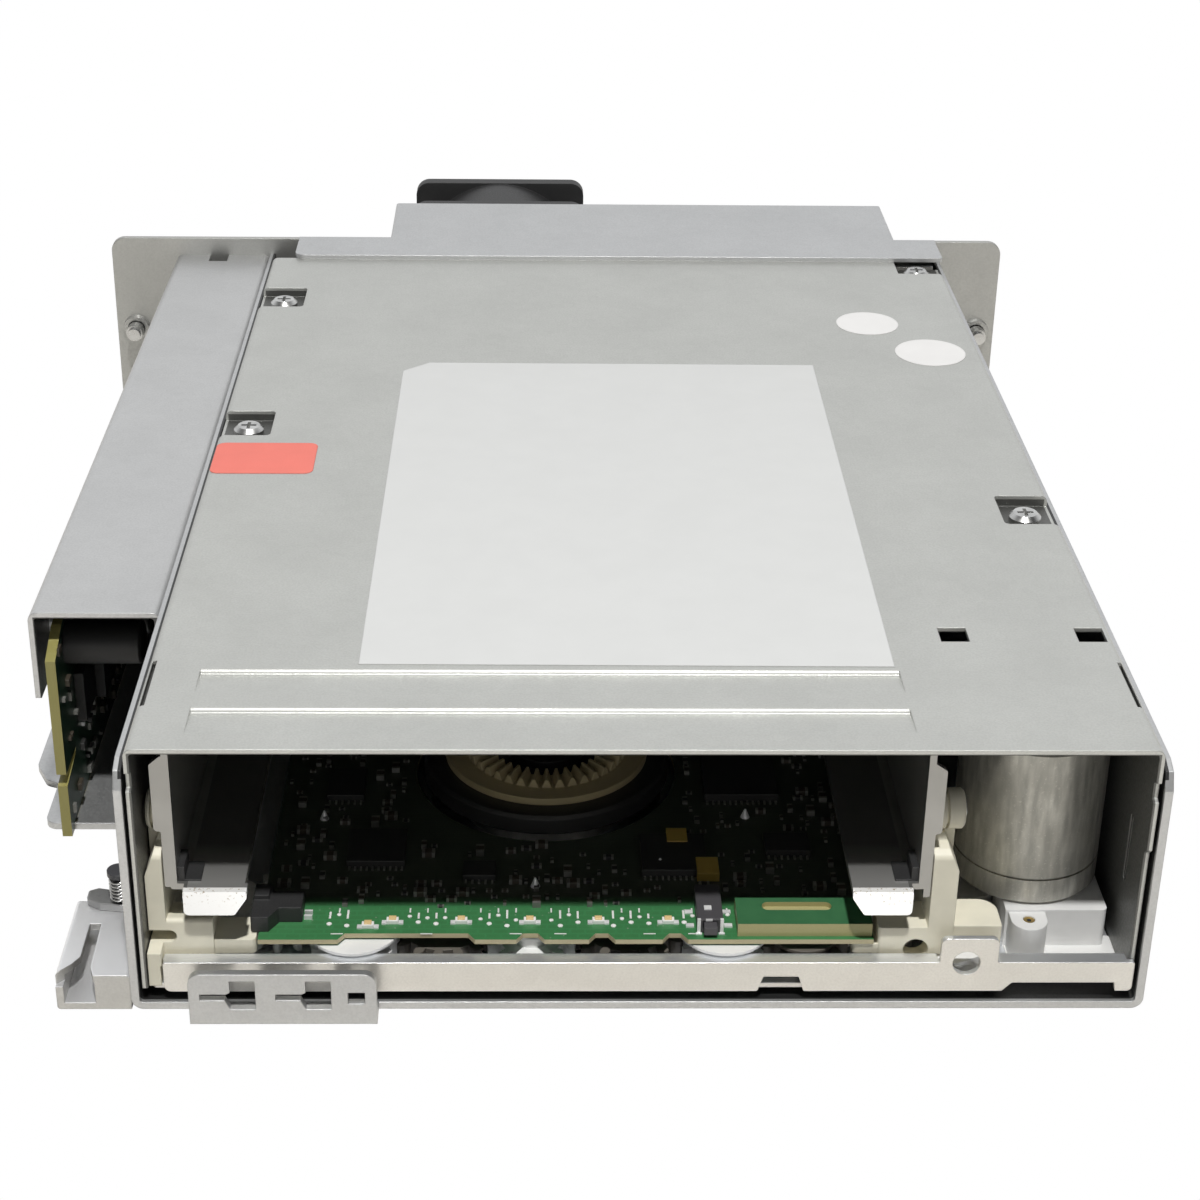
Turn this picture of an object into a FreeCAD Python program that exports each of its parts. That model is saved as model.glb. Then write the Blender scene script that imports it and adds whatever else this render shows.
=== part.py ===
import FreeCAD, Part
import math
import os

# Half-height tape drive on a library sled. Millimetres.
# X runs across the drive, Y from its mouth to its back, Z up.
# Origin: underside of the tray, on the drive's centre line, level with the drive's front edge.

V = FreeCAD.Vector

# ---------------------------------------------------------------- sled
TRAY_SHEET = 1.2
TRAY_HALF = 74.7                 # outside of the tray's walls
TRAY_WALL_TOP = 41.4
TRAY_FRONT, PLATE_Y = -0.5, 214.0
WING_X, WING_WIDE_X = -96.4, -101.0
WING_Y, WING_WIDE_Y = 46.6, 58.8
TAB_X0, TAB_X1, TAB_Y, TAB_TOP = -65.7, -38.4, -4.0, 8.8
DRIVE_SCREWS = [(-58, 70), (58, 70), (-58, 175), (58, 175)]
CHANNEL_X0, CHANNEL_TOP, CHANNEL_Y, CHANNEL_SHEET = -95.6, 41.0, 46.0, 1.0
BOARD_X0, BOARD_T, BOARD_Y0, BOARD_Y1, BOARD_TOP = -93.0, 1.6, 43.8, 206.0, 36.5
DOCK_X0, DOCK_Y1, DOCK_TOP, DOCK_SHEET = -85.6, 18.0, 6.0, 1.1
LATCH_X, LATCH_Y = -78.6, 16.6
PLATE_X0, PLATE_X1, PLATE_TOP, PLATE_SHEET = -110.0, 89.0, 44.9, 1.2
THUMB_X, THUMB_Z = (-105.7, 84.9), 23.6
HOUSING_X0, HOUSING_X1, HOUSING_Y1, HOUSING_SHEET = -47.8, 64.9, 238.0, 1.0
LIP_X0, LIP_X1, LIP_Y = -68.0, 73.8, 202.0
FAN_X, FAN_Z, FAN_SIZE, FAN_DEPTH = -24.0, 25.0, 40.0, 20.0
PORT_X, PORT_Z = (16.0, 42.0), 26.0

# ---------------------------------------------------------------- drive shell
DRIVE_HALF, DRIVE_TOP, DRIVE_FLOOR = 73.0, 44.4, 2.8
DRIVE_LENGTH = 203.8
SHEET = 0.8
FLOOR_TOP = DRIVE_FLOOR + SHEET
BAR_X0, BAR_X1, BAR_TOP, BAR_SHEET, BAR_FLANGE = -69.8, 72.9, 7.9, 0.9, 2.3
BAR_HOLE = (48.0, 7.8, 2.05)     # x, z, radius
POCKET_DEPTH = 2.0
COVER_SCREWS = [(-68, 112.5), (-68, 178), (68, 77), (67.5, 197.8)]
BEADS = [(4.3, 11.2), (15.7, 22.3)]
BEAD_X0, BEAD_X1, BEAD_DEPTH = -65.0, 38.6, 0.65

# ---------------------------------------------------------------- boards
PCB_X0, PCB_X1, PCB_Y0, PCB_Y1 = -56.2, 34.6, 3.1, 104.0
PCB_Z, PCB_T = 9.0, 0.8
PCB_TOP = PCB_Z + PCB_T
PCB_NOTCHES = [(-44.5, -24.3), (-18.2, -14.0), (-7.5, -3.6), (3.4, 7.2)]
PCB_POSTS = [(-52, 34), (30, 34), (-52, 99), (30, 99)]

# ---------------------------------------------------------------- reels
REEL_X, REEL_Y, REEL_R = -13.6, 50.0, 20.1
REEL_TOP = 13.4
CLUTCH_R0, CLUTCH_R1, CLUTCH_TEETH = 9.6, 16.6, 40
TAKEUP_X, TAKEUP_Y, TAKEUP_R = -20.0, 158.0, 42.0
TAPE_Z0, TAPE_Z1 = 19.2, 32.8    # the band that the tape runs in
TAPE_ROLLERS = [(46, 118), (58, 134), (58, 168), (46, 184)]
HEAD_Y = 151.0

# ---------------------------------------------------------------- carriage
RAIL_X0, RAIL_X1 = -67.4, 40.6   # inner faces of the two rails
CAR_SHEET = 1.0
CAR_TOP, SHELF_TOP = 42.4, 19.4
CAR_Y0, CAR_Y1 = 3.6, 90.0
SHELF_W = 9.8
CAR_BACK, CAR_DROP = 12.0, 4.2   # how far it travels back and down
ROLLER_R, ROLLER_Z = 3.0, 29.0
ROLLER_Y = (9.0, 75.0)
STUD_R = 1.2
LUG_Y, LUG_PIN_Z, LUG_PIN_R = 53.0, 12.2, 0.9
RAMP_SLOPE = CAR_DROP / CAR_BACK

# ---------------------------------------------------------------- load gears
MODULE, ADDENDUM, DEDENDUM, BACKLASH = 1.0, 0.8, 1.15, 0.22
GEAR_Z0, GEAR_Z1 = 4.3, 6.7
PIN_R, BORE_R = 1.0, 1.05
RACK_LEFT_X, RACK_RIGHT_X, RACK_DRIVE_X = -62.0, 44.4, 54.0
FRONT_ROW_Y, END_Y = 8.2, 16.04
# name, x, teeth, disc radius, disc height above the gear (0 for no disc)
GEARS = [("load_gear_a", -54.0, 16, 0, 0), ("load_gear_b", -42.4, 12, 7.0, 1.45),
         ("load_gear_c", -29.2, 15, 0, 0), ("load_gear_d", -16.0, 12, 3.3, 1.45),
         ("load_gear_e", -1.6, 18, 0, 0), ("load_gear_f", 12.8, 12, 7.0, 1.45),
         ("load_gear_g", 24.8, 12, 5.4, 0.6), ("load_gear_h", 36.4, 16, 0, 0)]
MOTOR_X, MOTOR_Y, MOTOR_R, MOTOR_TOP = 60.1, 22.2, 11.2, 37.0
PINION_X, PINION_Y, PINION_TEETH, WELL_R = 61.0, 25.3, 14, 8.4
GEARBOX_Y0, GEARBOX_TOP = 9.9, 10.2
BOSS_X, BOSS_Y, BOSS_R, BOSS_TOP = 58.6, 8.1, 2.75, 9.8
SLIDER_Z0, SLIDER_Z1 = 4.0, 6.6
GUIDE_Z = 7.1

FLAT = 1e-6


# ================================================================ small helpers
def block(x0, x1, y0, y1, z0, z1):
    return Part.makeBox(x1 - x0, y1 - y0, z1 - z0, V(x0, y0, z0))


def rod(x, y, z0, z1, r):
    return Part.makeCylinder(r, z1 - z0, V(x, y, z0), V(0, 0, 1))


def rod_x(x0, x1, y, z, r):
    return Part.makeCylinder(r, x1 - x0, V(x0, y, z), V(1, 0, 0))


def rod_y(x, y0, y1, z, r):
    return Part.makeCylinder(r, y1 - y0, V(x, y0, z), V(0, 1, 0))


def tube(x, y, z0, z1, outer, inner):
    return rod(x, y, z0, z1, outer).cut(rod(x, y, z0, z1, inner))


def tube_y(x, y0, y1, z, outer, inner):
    return rod_y(x, y0, y1, z, outer).cut(rod_y(x, y0, y1, z, inner))


def arc_corner(a, b, c, r):
    """Tangent points and middle of the arc that rounds corner b of the path a-b-c."""
    u = (a - b).normalize()
    w = (c - b).normalize()
    half = u.getAngle(w) / 2
    reach = r / math.tan(half)
    mid = b + (u + w).normalize() * (r / math.sin(half) - r)
    return b + u * reach, mid, b + w * reach


def outline(points, radii=0.0):
    """Closed wire through 3-D points; each corner is rounded by its radius."""
    n = len(points)
    if not isinstance(radii, (list, tuple)):
        radii = [radii] * n
    spans = []
    for i, p in enumerate(points):
        if radii[i] < FLAT:
            spans.append((p, None, p))
        else:
            spans.append(arc_corner(points[i - 1], p, points[(i + 1) % n], radii[i]))
    edges = []
    for i, (start, mid, end) in enumerate(spans):
        if mid is not None:
            edges.append(Part.Arc(start, mid, end).toShape())
        after = spans[(i + 1) % n][0]
        if (after - end).Length > FLAT:
            edges.append(Part.LineSegment(end, after).toShape())
    return Part.Wire(edges)


def plan(points, z0, z1, radii=0.0):
    """Prism of an X-Y outline."""
    wire = outline([V(x, y, z0) for x, y in points], radii)
    return Part.Face(wire).extrude(V(0, 0, z1 - z0))


def front(points, y0, y1, radii=0.0):
    """Prism of an X-Z outline."""
    wire = outline([V(x, y0, z) for x, z in points], radii)
    return Part.Face(wire).extrude(V(0, y1 - y0, 0))


def side(points, x0, x1, radii=0.0):
    """Prism of a Y-Z outline."""
    wire = outline([V(x0, y, z) for y, z in points], radii)
    return Part.Face(wire).extrude(V(x1 - x0, 0, 0))


def rect(x0, x1, y0, y1):
    return [(x0, y0), (x1, y0), (x1, y1), (x0, y1)]


def offset_path(path, t):
    """The open 2-D path moved to its left by t."""
    moved = []
    for i, (x, y) in enumerate(path):
        normals = []
        for j in (i - 1, i):
            if 0 <= j < len(path) - 1:
                dx, dy = path[j + 1][0] - path[j][0], path[j + 1][1] - path[j][1]
                size = math.hypot(dx, dy)
                normals.append((-dy / size, dx / size))
        nx = sum(n[0] for n in normals)
        ny = sum(n[1] for n in normals)
        k = t * len(normals) / (nx * nx + ny * ny)
        moved.append((x + nx * k, y + ny * k))
    return moved


def bent_sheet(path, t, y0, y1, bend):
    """Sheet metal folded along an X-Z path, t thick to the path's left, run from y0 to y1."""
    inner = offset_path(path, t)
    radii_out, radii_in = [], []
    for i in range(len(path)):
        if i in (0, len(path) - 1):
            radii_out.append(0.0)
            radii_in.append(0.0)
            continue
        (ax, az), (bx, bz), (cx, cz) = path[i - 1], path[i], path[i + 1]
        left_turn = (bx - ax) * (cz - bz) - (bz - az) * (cx - bx) > 0
        radii_out.append(bend + t if left_turn else bend)
        radii_in.append(bend if left_turn else bend + t)
    return front(path + inner[::-1], y0, y1, radii_out + radii_in[::-1])


def fuse(first, *rest):
    return first.multiFuse([r for r in rest]).removeSplitter()


def cut(shape, *tools):
    return shape.cut(list(tools))


def ring_of(shape, count, x, y):
    """count copies of a shape turned about the vertical line through x, y."""
    copies = []
    for i in range(count):
        c = shape.copy()
        c.rotate(V(x, y, 0), V(0, 0, 1), 360.0 * i / count)
        copies.append(c)
    return copies


def pan_screw(x, y, z, head_r, head_h, shank_r, depth):
    """Pan-head screw with a cross recess, pointing down, its head's underside at z."""
    head = rod(x, y, z, z + head_h, head_r)
    head = head.makeChamfer(head_h * 0.4, [e for e in head.Edges if abs(e.BoundBox.ZMin - z - head_h) < FLAT
                                           and e.BoundBox.XLength > head_r])
    slots = [block(x - head_r * 0.5, x + head_r * 0.5, y - 0.3, y + 0.3, z + head_h * 0.45, z + head_h + 1),
             block(x - 0.3, x + 0.3, y - head_r * 0.5, y + head_r * 0.5, z + head_h * 0.45, z + head_h + 1)]
    return cut(head, *slots).fuse(rod(x, y, z - depth, z, shank_r))


# ================================================================ gears and racks
def involute_half_angle(teeth, r):
    """Half the angle that a tooth takes up at radius r."""
    pressure = math.radians(20)
    pitch_r = teeth * MODULE / 2
    base_r = pitch_r * math.cos(pressure)
    at_pitch = math.pi / (2 * teeth) - BACKLASH / 2 / pitch_r
    local = math.acos(min(1.0, base_r / r))
    return at_pitch + (math.tan(pressure) - pressure) - (math.tan(local) - local)


def gear_blank(teeth, phase):
    """Points of a spur gear about 0, 0, with a tooth centred at the angle phase."""
    pitch_r = teeth * MODULE / 2
    base_r = pitch_r * math.cos(math.radians(20))
    root, tip = pitch_r - DEDENDUM * MODULE, pitch_r + ADDENDUM * MODULE
    foot = max(base_r, root + 0.1)
    levels = [(root, involute_half_angle(teeth, foot) * 0.86)]
    levels += [(r, involute_half_angle(teeth, r)) for r in (foot, pitch_r + 0.1, tip)]
    points = []
    for i in range(teeth):
        middle = phase + 2 * math.pi * i / teeth
        for r, half in levels:
            points.append((r * math.cos(middle - half), r * math.sin(middle - half)))
        for r, half in levels[::-1]:
            points.append((r * math.cos(middle + half), r * math.sin(middle + half)))
    return points


def meshed_phase(x0, y0, teeth0, phase0, x1, y1, teeth1):
    """Phase of a gear at x1, y1 that meshes with the gear at x0, y0."""
    towards = math.atan2(y1 - y0, x1 - x0)
    u = (towards - phase0) * teeth0 / (2 * math.pi)
    return towards + math.pi - (0.5 - u) * 2 * math.pi / teeth1


def gear_layout():
    """Centre, teeth and phase of each gear of the cross train, from left to right."""
    placed = []
    for i, (name, x, teeth, disc_r, disc_up) in enumerate(GEARS):
        if i in (0, len(GEARS) - 1):
            y = END_Y
        elif i % 2:
            y = FRONT_ROW_Y
        elif i == 6:
            y = FRONT_ROW_Y
        else:
            reach = (teeth + GEARS[i - 1][2]) * MODULE / 2
            y = FRONT_ROW_Y + math.sqrt(reach ** 2 - (x - GEARS[i - 1][1]) ** 2)
        if placed:
            last = placed[-1]
            phase = meshed_phase(last["x"], last["y"], last["teeth"], last["phase"], x, y, teeth)
        else:
            phase = 0.0
        placed.append({"name": name, "x": x, "y": y, "teeth": teeth, "phase": phase,
                       "disc_r": disc_r, "disc_up": disc_up})
    return placed


def rack_points(pitch_x, facing, y0, y1, tooth_y):
    """Tooth line of a rack along Y; facing is +1 for teeth towards +X, tooth_y centres a tooth."""
    pitch = math.pi * MODULE
    slope = math.tan(math.radians(20))
    at_pitch = pitch / 4 - BACKLASH / 2
    tip_x, root_x = pitch_x + facing * ADDENDUM * MODULE, pitch_x - facing * DEDENDUM * MODULE
    points = [(root_x, y0)]
    first = math.ceil((y0 - tooth_y) / pitch + 0.5)
    last = math.floor((y1 - tooth_y) / pitch - 0.5)
    for i in range(first, last + 1):
        middle = tooth_y + i * pitch
        foot, head = at_pitch + slope * DEDENDUM * MODULE, at_pitch - slope * ADDENDUM * MODULE
        points += [(root_x, middle - foot), (tip_x, middle - head)]
        points += [(tip_x, middle + head), (root_x, middle + foot)]
    points.append((root_x, y1))
    return points


def rack_tooth_y(gear, pitch_x):
    """A height at which the rack that meshes with this gear has a tooth."""
    towards = 0.0 if pitch_x > gear["x"] else math.pi
    u = (towards - gear["phase"]) * gear["teeth"] / (2 * math.pi)
    turn = 1 if towards == 0.0 else -1
    return gear["y"] + turn * (0.5 - u) * math.pi * MODULE


def gear_solid(gear):
    blank = plan([(gear["x"] + px, gear["y"] + py) for px, py in gear_blank(gear["teeth"], gear["phase"])],
                 GEAR_Z0, GEAR_Z1)
    parts = []
    disc_z = GEAR_Z1 + gear["disc_up"]
    if gear["disc_r"]:
        parts.append(rod(gear["x"], gear["y"], GEAR_Z1, disc_z, 3.0))
        parts.append(rod(gear["x"], gear["y"], disc_z, disc_z + 0.5, gear["disc_r"]))
    else:
        parts.append(rod(gear["x"], gear["y"], GEAR_Z1, GEAR_Z1 + 1.0, 3.0))
    solid = fuse(blank, *parts)
    top = disc_z if gear["disc_r"] else GEAR_Z1 + 0.6
    return cut(solid, rod(gear["x"], gear["y"], GEAR_Z0 - 1, top, BORE_R))


def drive_pinion_layout():
    """The pinion on the gearbox's output shaft, in mesh with the right slider's outer rack."""
    right = gear_layout()[-1]
    tooth_y = rack_tooth_y(right, RACK_RIGHT_X)
    u = (tooth_y - PINION_Y) / (math.pi * MODULE)
    phase = math.pi + (0.5 - u) * 2 * math.pi / PINION_TEETH
    return {"name": "drive_pinion", "x": PINION_X, "y": PINION_Y, "teeth": PINION_TEETH, "phase": phase,
            "disc_r": 0, "disc_up": 0}


# ================================================================ the sled
def tray_tab():
    """Slotted tab that stands at the tray's front lip."""
    tab = front(rect(TAB_X0, TAB_X1, 0, TAB_TOP), TAB_Y, TAB_Y + TRAY_SHEET, [0.3, 0.3, 1.8, 1.8])
    lip = block(TAB_X0, TAB_X1, TAB_Y, TRAY_FRONT + 0.5, 0, TRAY_SHEET)
    slots = []
    for narrow_x, wide_x in [(-64.1, -59.7), (-53.1, -48.7)]:
        slots.append(front([(narrow_x, 4.2), (wide_x - 0.8, 4.2), (wide_x, 2.6), (wide_x + 3.7, 2.6),
                            (wide_x + 3.7, 7.6), (wide_x, 7.6), (wide_x, 5.6), (wide_x - 0.6, 5.3),
                            (narrow_x, 5.3)], TAB_Y - 1, TAB_Y + 3))
    square = block(-42.6, -40.1, TAB_Y - 1, TAB_Y + 3, 3.6, 5.6)
    return cut(fuse(tab, lip), square, *slots)


def tray_boss(x, y):
    """Dimple pressed up under the drive, with room for a screw's head beneath."""
    return Part.makeCone(8.0, 5.5, DRIVE_FLOOR - TRAY_SHEET, V(x, y, TRAY_SHEET), V(0, 0, 1))


def tray_dimple(x, y):
    hollow = Part.makeCone(6.6, 4.1, DRIVE_FLOOR - TRAY_SHEET, V(x, y, 0), V(0, 0, 1))
    return hollow.fuse(rod(x, y, -1, DRIVE_FLOOR + 1, 1.6))


def tray():
    shell = bent_sheet([(-TRAY_HALF, TRAY_WALL_TOP), (-TRAY_HALF, 0),
                        (TRAY_HALF, 0), (TRAY_HALF, TRAY_WALL_TOP)],
                       TRAY_SHEET, TRAY_FRONT, PLATE_Y, 0.6)
    for x0 in (-TRAY_HALF - 1, TRAY_HALF - TRAY_SHEET - 1):
        corner = side([(TRAY_FRONT - 1, TRAY_WALL_TOP + 1), (TRAY_FRONT - 1, TRAY_WALL_TOP - 3.5),
                       (TRAY_FRONT, TRAY_WALL_TOP - 3.5), (TRAY_FRONT + 1.2, TRAY_WALL_TOP - 0.9),
                       (TRAY_FRONT + 3.5, TRAY_WALL_TOP), (TRAY_FRONT + 3.5, TRAY_WALL_TOP + 1)],
                      x0, x0 + TRAY_SHEET + 2)
        shell = shell.cut(corner)
    wing = plan([(-TRAY_HALF + 1.5, WING_Y), (WING_X, WING_Y), (WING_X, WING_WIDE_Y),
                 (-98.6, WING_WIDE_Y + 1),
                 (WING_WIDE_X, 64.5), (WING_WIDE_X, PLATE_Y), (-TRAY_HALF + 1.5, PLATE_Y)],
                0, TRAY_SHEET, [0, 2.0, 0.4, 1.5, 2.0, 0, 0])
    body = fuse(shell, wing, tray_tab(), *[tray_boss(x, y) for x, y in DRIVE_SCREWS])
    vents = [plan(rect(x, x + 4, 90, 150), -1, TRAY_SHEET + 0.5, 1.9) for x in (-32, -20, -8, 4, 16, 28)]
    return cut(body, *([tray_dimple(x, y) for x, y in DRIVE_SCREWS] + vents))


def tray_screws():
    screws = []
    for x, y in DRIVE_SCREWS:
        head = cut(rod(x, y, 0.15, DRIVE_FLOOR - TRAY_SHEET, 2.8),
                   block(x - 1.5, x + 1.5, y - 0.3, y + 0.3, 0, 0.8),
                   block(x - 0.3, x + 0.3, y - 1.5, y + 1.5, 0, 0.8))
        screws.append(head.fuse(rod(x, y, DRIVE_FLOOR - TRAY_SHEET, FLOOR_TOP + 0.4, 1.5)))
    return Part.makeCompound(screws)


def side_channel():
    """Folded cover over the sled's side board."""
    x1 = -TRAY_HALF
    shell = bent_sheet([(x1, 14.0), (x1, CHANNEL_TOP), (CHANNEL_X0, CHANNEL_TOP), (CHANNEL_X0, 25.5)],
                       CHANNEL_SHEET, CHANNEL_Y, PLATE_Y, 0.5)
    return cut(shell, block(-88, -84, PLATE_Y - 4, PLATE_Y + 1, CHANNEL_TOP - 2, CHANNEL_TOP + 1))


def side_board():
    edge = side([(BOARD_Y0, 0.5), (46.2, 0.5), (46.2, 1.5), (BOARD_Y1, 1.5), (BOARD_Y1, BOARD_TOP),
                 (50.5, BOARD_TOP), (BOARD_Y0, 33.4)], BOARD_X0, BOARD_X0 + BOARD_T)
    slit = side([(BOARD_Y0 - 1, 10.0), (BOARD_Y0 - 1, 12.4), (52.5, 12.4), (51.0, 11.6)],
                BOARD_X0 - 1, BOARD_X0 + BOARD_T + 1)
    return cut(edge, slit)


def side_board_parts():
    """Capacitors, packages and a closed plug block on the side board's inner face."""
    x = BOARD_X0 + BOARD_T
    parts = []
    for y, z, r, length in [(53, 32, 3.6, 12.5), (63, 32, 3.6, 12.5), (74, 31, 4.0, 13.0),
                            (86, 31, 4.0, 13.0)]:
        can = rod_x(x, x + length, y, z, r)
        parts.append(can.makeChamfer(0.4, [e for e in can.Edges if e.BoundBox.XMin > x + length - 0.1
                                           and e.BoundBox.YLength > r]))
    for y, z, w, h, t in [(60, 20, 9, 9, 1.6), (78, 18, 14, 14, 1.8), (100, 22, 10, 14, 2.4),
                          (122, 20, 16, 12, 1.6), (146, 24, 8, 12, 2.0), (168, 18, 12, 12, 3.2)]:
        parts.append(block(x, x + t, y - w / 2, y + w / 2, z - h / 2, z + h / 2))
    parts.append(block(x, x + 8, 184, 204, 8, 30))
    return Part.makeCompound(parts)


def board_spacers():
    spacers = []
    for y in (58, 128, 196):
        x = CHANNEL_X0 + CHANNEL_SHEET
        spacers.append(rod_x(x, BOARD_X0, y, 34.0 if y == 128 else 33.0, 2.4))
    return Part.makeCompound(spacers)


def dock_bracket():
    """Guide box at the sled's front-left corner, with a flared slot for the bay's blade."""
    x1 = -TRAY_HALF
    shell = bent_sheet([(-79.9, 0), (DOCK_X0, 0), (DOCK_X0, DOCK_TOP), (x1, DOCK_TOP), (x1, 0)],
                       -DOCK_SHEET, TRAY_FRONT, DOCK_Y1, 0.5)
    face = block(-79.9, x1, TRAY_FRONT, TRAY_FRONT + DOCK_SHEET, 0, DOCK_TOP - 0.3)
    mouth = plan([(-82.6, 12.2), (-82.6, 4.2), (-83.6, 2.4), (-86.5, -0.9), (-79.9, -0.9), (-80.7, 1.6),
                  (-80.9, 12.2)], DOCK_TOP - 2, DOCK_TOP + 1)
    return cut(fuse(shell, face), mouth)


def latch_pin():
    return fuse(rod(LATCH_X, LATCH_Y, DOCK_TOP, 12.6, 0.9), rod(LATCH_X, LATCH_Y, 12.0, 12.8, 1.7))


def dock_latch():
    """Sprung pawl that closes the back of the dock slot."""
    arm = plan([(LATCH_X + 1.7, LATCH_Y - 1.7), (LATCH_X + 1.7, LATCH_Y + 1.7), (-82.4, 19.6), (-83.8, 18.9),
                (-83.8, 16.9), (-81.6, 15.6)], DOCK_TOP + 0.1, DOCK_TOP + 1.3, [1.4, 1.4, 0.5, 0.5, 0.5, 0.5])
    return cut(arm, rod(LATCH_X, LATCH_Y, DOCK_TOP - 1, DOCK_TOP + 3, 0.95))


def latch_spring():
    return tube(LATCH_X, LATCH_Y, DOCK_TOP + 1.4, 11.8, 1.6, 1.1)


def rear_plate():
    plate = front(rect(PLATE_X0, PLATE_X1, 0, PLATE_TOP), PLATE_Y, PLATE_Y + PLATE_SHEET,
                  [1.5, 1.5, 3.0, 3.0])
    gap = block(HOUSING_X0, HOUSING_X1, PLATE_Y - 1, PLATE_Y + 3, -1, PLATE_TOP + 1)
    plate = plate.cut(gap)
    for x in THUMB_X:
        plate = plate.cut(rod_y(x, PLATE_Y - 2, PLATE_Y + 3, THUMB_Z, 1.9))
        plate = fuse(plate, tube_y(x, PLATE_Y - 0.8, PLATE_Y, THUMB_Z, 2.9, 1.9),
                     tube_y(x, PLATE_Y + PLATE_SHEET, PLATE_Y + 4.6, THUMB_Z, 3.1, 1.9))
    return plate


def thumbscrew(x):
    """Captive screw: knurled head behind the plate, thinner shank in its collar, threaded tip in front."""
    shank = rod_y(x, PLATE_Y - 1.2, PLATE_Y + 6, THUMB_Z, 1.5)
    thread = rod_y(x, PLATE_Y - 4.0, PLATE_Y - 1.2, THUMB_Z, 1.8)
    tip = rod_y(x, PLATE_Y - 5.0, PLATE_Y - 4.0, THUMB_Z, 1.4)
    knurls = 20
    rim = []
    for i in range(knurls):
        for k, r in ((0, 4.6), (0.5, 4.25)):
            angle = 2 * math.pi * (i + k) / knurls
            rim.append((x + r * math.cos(angle), THUMB_Z + r * math.sin(angle)))
    head = front(rim, PLATE_Y + 5.0, PLATE_Y + 12.0)
    recess = [block(x - 2, x + 2, PLATE_Y + 11, PLATE_Y + 13, THUMB_Z - 0.4, THUMB_Z + 0.4),
              block(x - 0.4, x + 0.4, PLATE_Y + 11, PLATE_Y + 13, THUMB_Z - 2, THUMB_Z + 2)]
    return cut(fuse(head, shank, thread, tip), *recess)


def rear_housing():
    """Folded shroud over the drive's back: a lip on the cover and a box that carries the fan."""
    top = DRIVE_TOP + HOUSING_SHEET
    lip = plan(rect(LIP_X0, LIP_X1, LIP_Y, PLATE_Y), DRIVE_TOP, top, [2.0, 0.5, 0, 0])
    hood = bent_sheet([(HOUSING_X0, 0), (HOUSING_X0, top), (HOUSING_X1, top), (HOUSING_X1, 0)],
                      -HOUSING_SHEET, PLATE_Y, HOUSING_Y1, 0.6)
    floor = block(HOUSING_X0 + HOUSING_SHEET, HOUSING_X1 - HOUSING_SHEET, PLATE_Y, HOUSING_Y1, 0,
                  HOUSING_SHEET)
    back = block(HOUSING_X0 + 0.6, HOUSING_X1 - 0.6, HOUSING_Y1 - HOUSING_SHEET, HOUSING_Y1, 0,
                 DRIVE_TOP + 0.4)
    body = fuse(lip, hood, floor, back)
    cutters = [rod_y(FAN_X, HOUSING_Y1 - 3, HOUSING_Y1 + 3, FAN_Z, 18.4)]
    cutters += [block(x - 8.5, x + 8.5, HOUSING_Y1 - 3, HOUSING_Y1 + 3, PORT_Z - 6,
                      PORT_Z + 6) for x in PORT_X]
    for i in range(5):
        cutters.append(front(rect(8 + 9 * i, 14 + 9 * i, 8, 11), HOUSING_Y1 - 3, HOUSING_Y1 + 3, 1.4))
    return cut(body, *cutters)


def rear_sockets():
    """Two interface receptacles seated in the back wall."""
    sockets = []
    for x in PORT_X:
        shell = block(x - 8.5, x + 8.5, HOUSING_Y1 - 14, HOUSING_Y1 + 1.0, PORT_Z - 6, PORT_Z + 6)
        shell = shell.cut(block(x - 7.5, x + 7.5, HOUSING_Y1 - 11, HOUSING_Y1 + 2, PORT_Z - 5, PORT_Z + 5))
        tongue = block(x - 6, x + 6, HOUSING_Y1 - 12, HOUSING_Y1 - 1, PORT_Z - 3.6, PORT_Z - 2.4)
        sockets.append(fuse(shell, tongue))
    return Part.makeCompound(sockets)


def fan_frame():
    """Square fan housing: two flanges on a round duct, four arms and a motor seat at the back."""
    y0, y1 = HOUSING_Y1, HOUSING_Y1 + FAN_DEPTH
    half = FAN_SIZE / 2
    square = rect(FAN_X - half, FAN_X + half, FAN_Z - half, FAN_Z + half)
    flanges = [front(square, y0, y0 + 3.2, 3.2), front(square, y1 - 3.2, y1, 3.2)]
    body = fuse(flanges[0], flanges[1], rod_y(FAN_X, y0, y1, FAN_Z, 19.7))
    body = body.cut(rod_y(FAN_X, y0 - 1, y1 + 1, FAN_Z, 18.6))
    arms = []
    for i in range(4):
        arm = block(FAN_X + 9, FAN_X + 18.9, y1 - 2.4, y1 - 0.2, FAN_Z - 0.9, FAN_Z + 0.9)
        arm.rotate(V(FAN_X, 0, FAN_Z), V(0, 1, 0), 90 * i + 20)
        arms.append(arm)
    return fuse(body, rod_y(FAN_X, y1 - 2.4, y1 - 0.2, FAN_Z, 10.5), *arms)


def fan_rotor():
    """Hub with seven swept blades."""
    y0, y1 = HOUSING_Y1 + 1.6, HOUSING_Y1 + FAN_DEPTH - 3.0
    hub = cut(rod_y(FAN_X, y0, y1, FAN_Z, 9.6), rod_y(FAN_X, y1 - 9, y1 + 1, FAN_Z, 8.4))
    hub = fuse(hub, rod_y(FAN_X, y1 - 10, y1, FAN_Z, 1.4))
    ring = tube_y(FAN_X, y0 + 0.4, y1 - 0.4, FAN_Z, 18.0, 9.0)
    blades = []
    for i in range(7):
        blade = block(FAN_X - 0.5, FAN_X + 0.5, y0 - 4, y1 + 4, FAN_Z + 8.8, FAN_Z + 19)
        blade.rotate(V(FAN_X, (y0 + y1) / 2, FAN_Z), V(0, 0, 1), 38)
        blade.rotate(V(FAN_X, 0, FAN_Z), V(0, 1, 0), 360 / 7 * i)
        blades.append(blade.common(ring))
    return fuse(hub, *blades)


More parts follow.
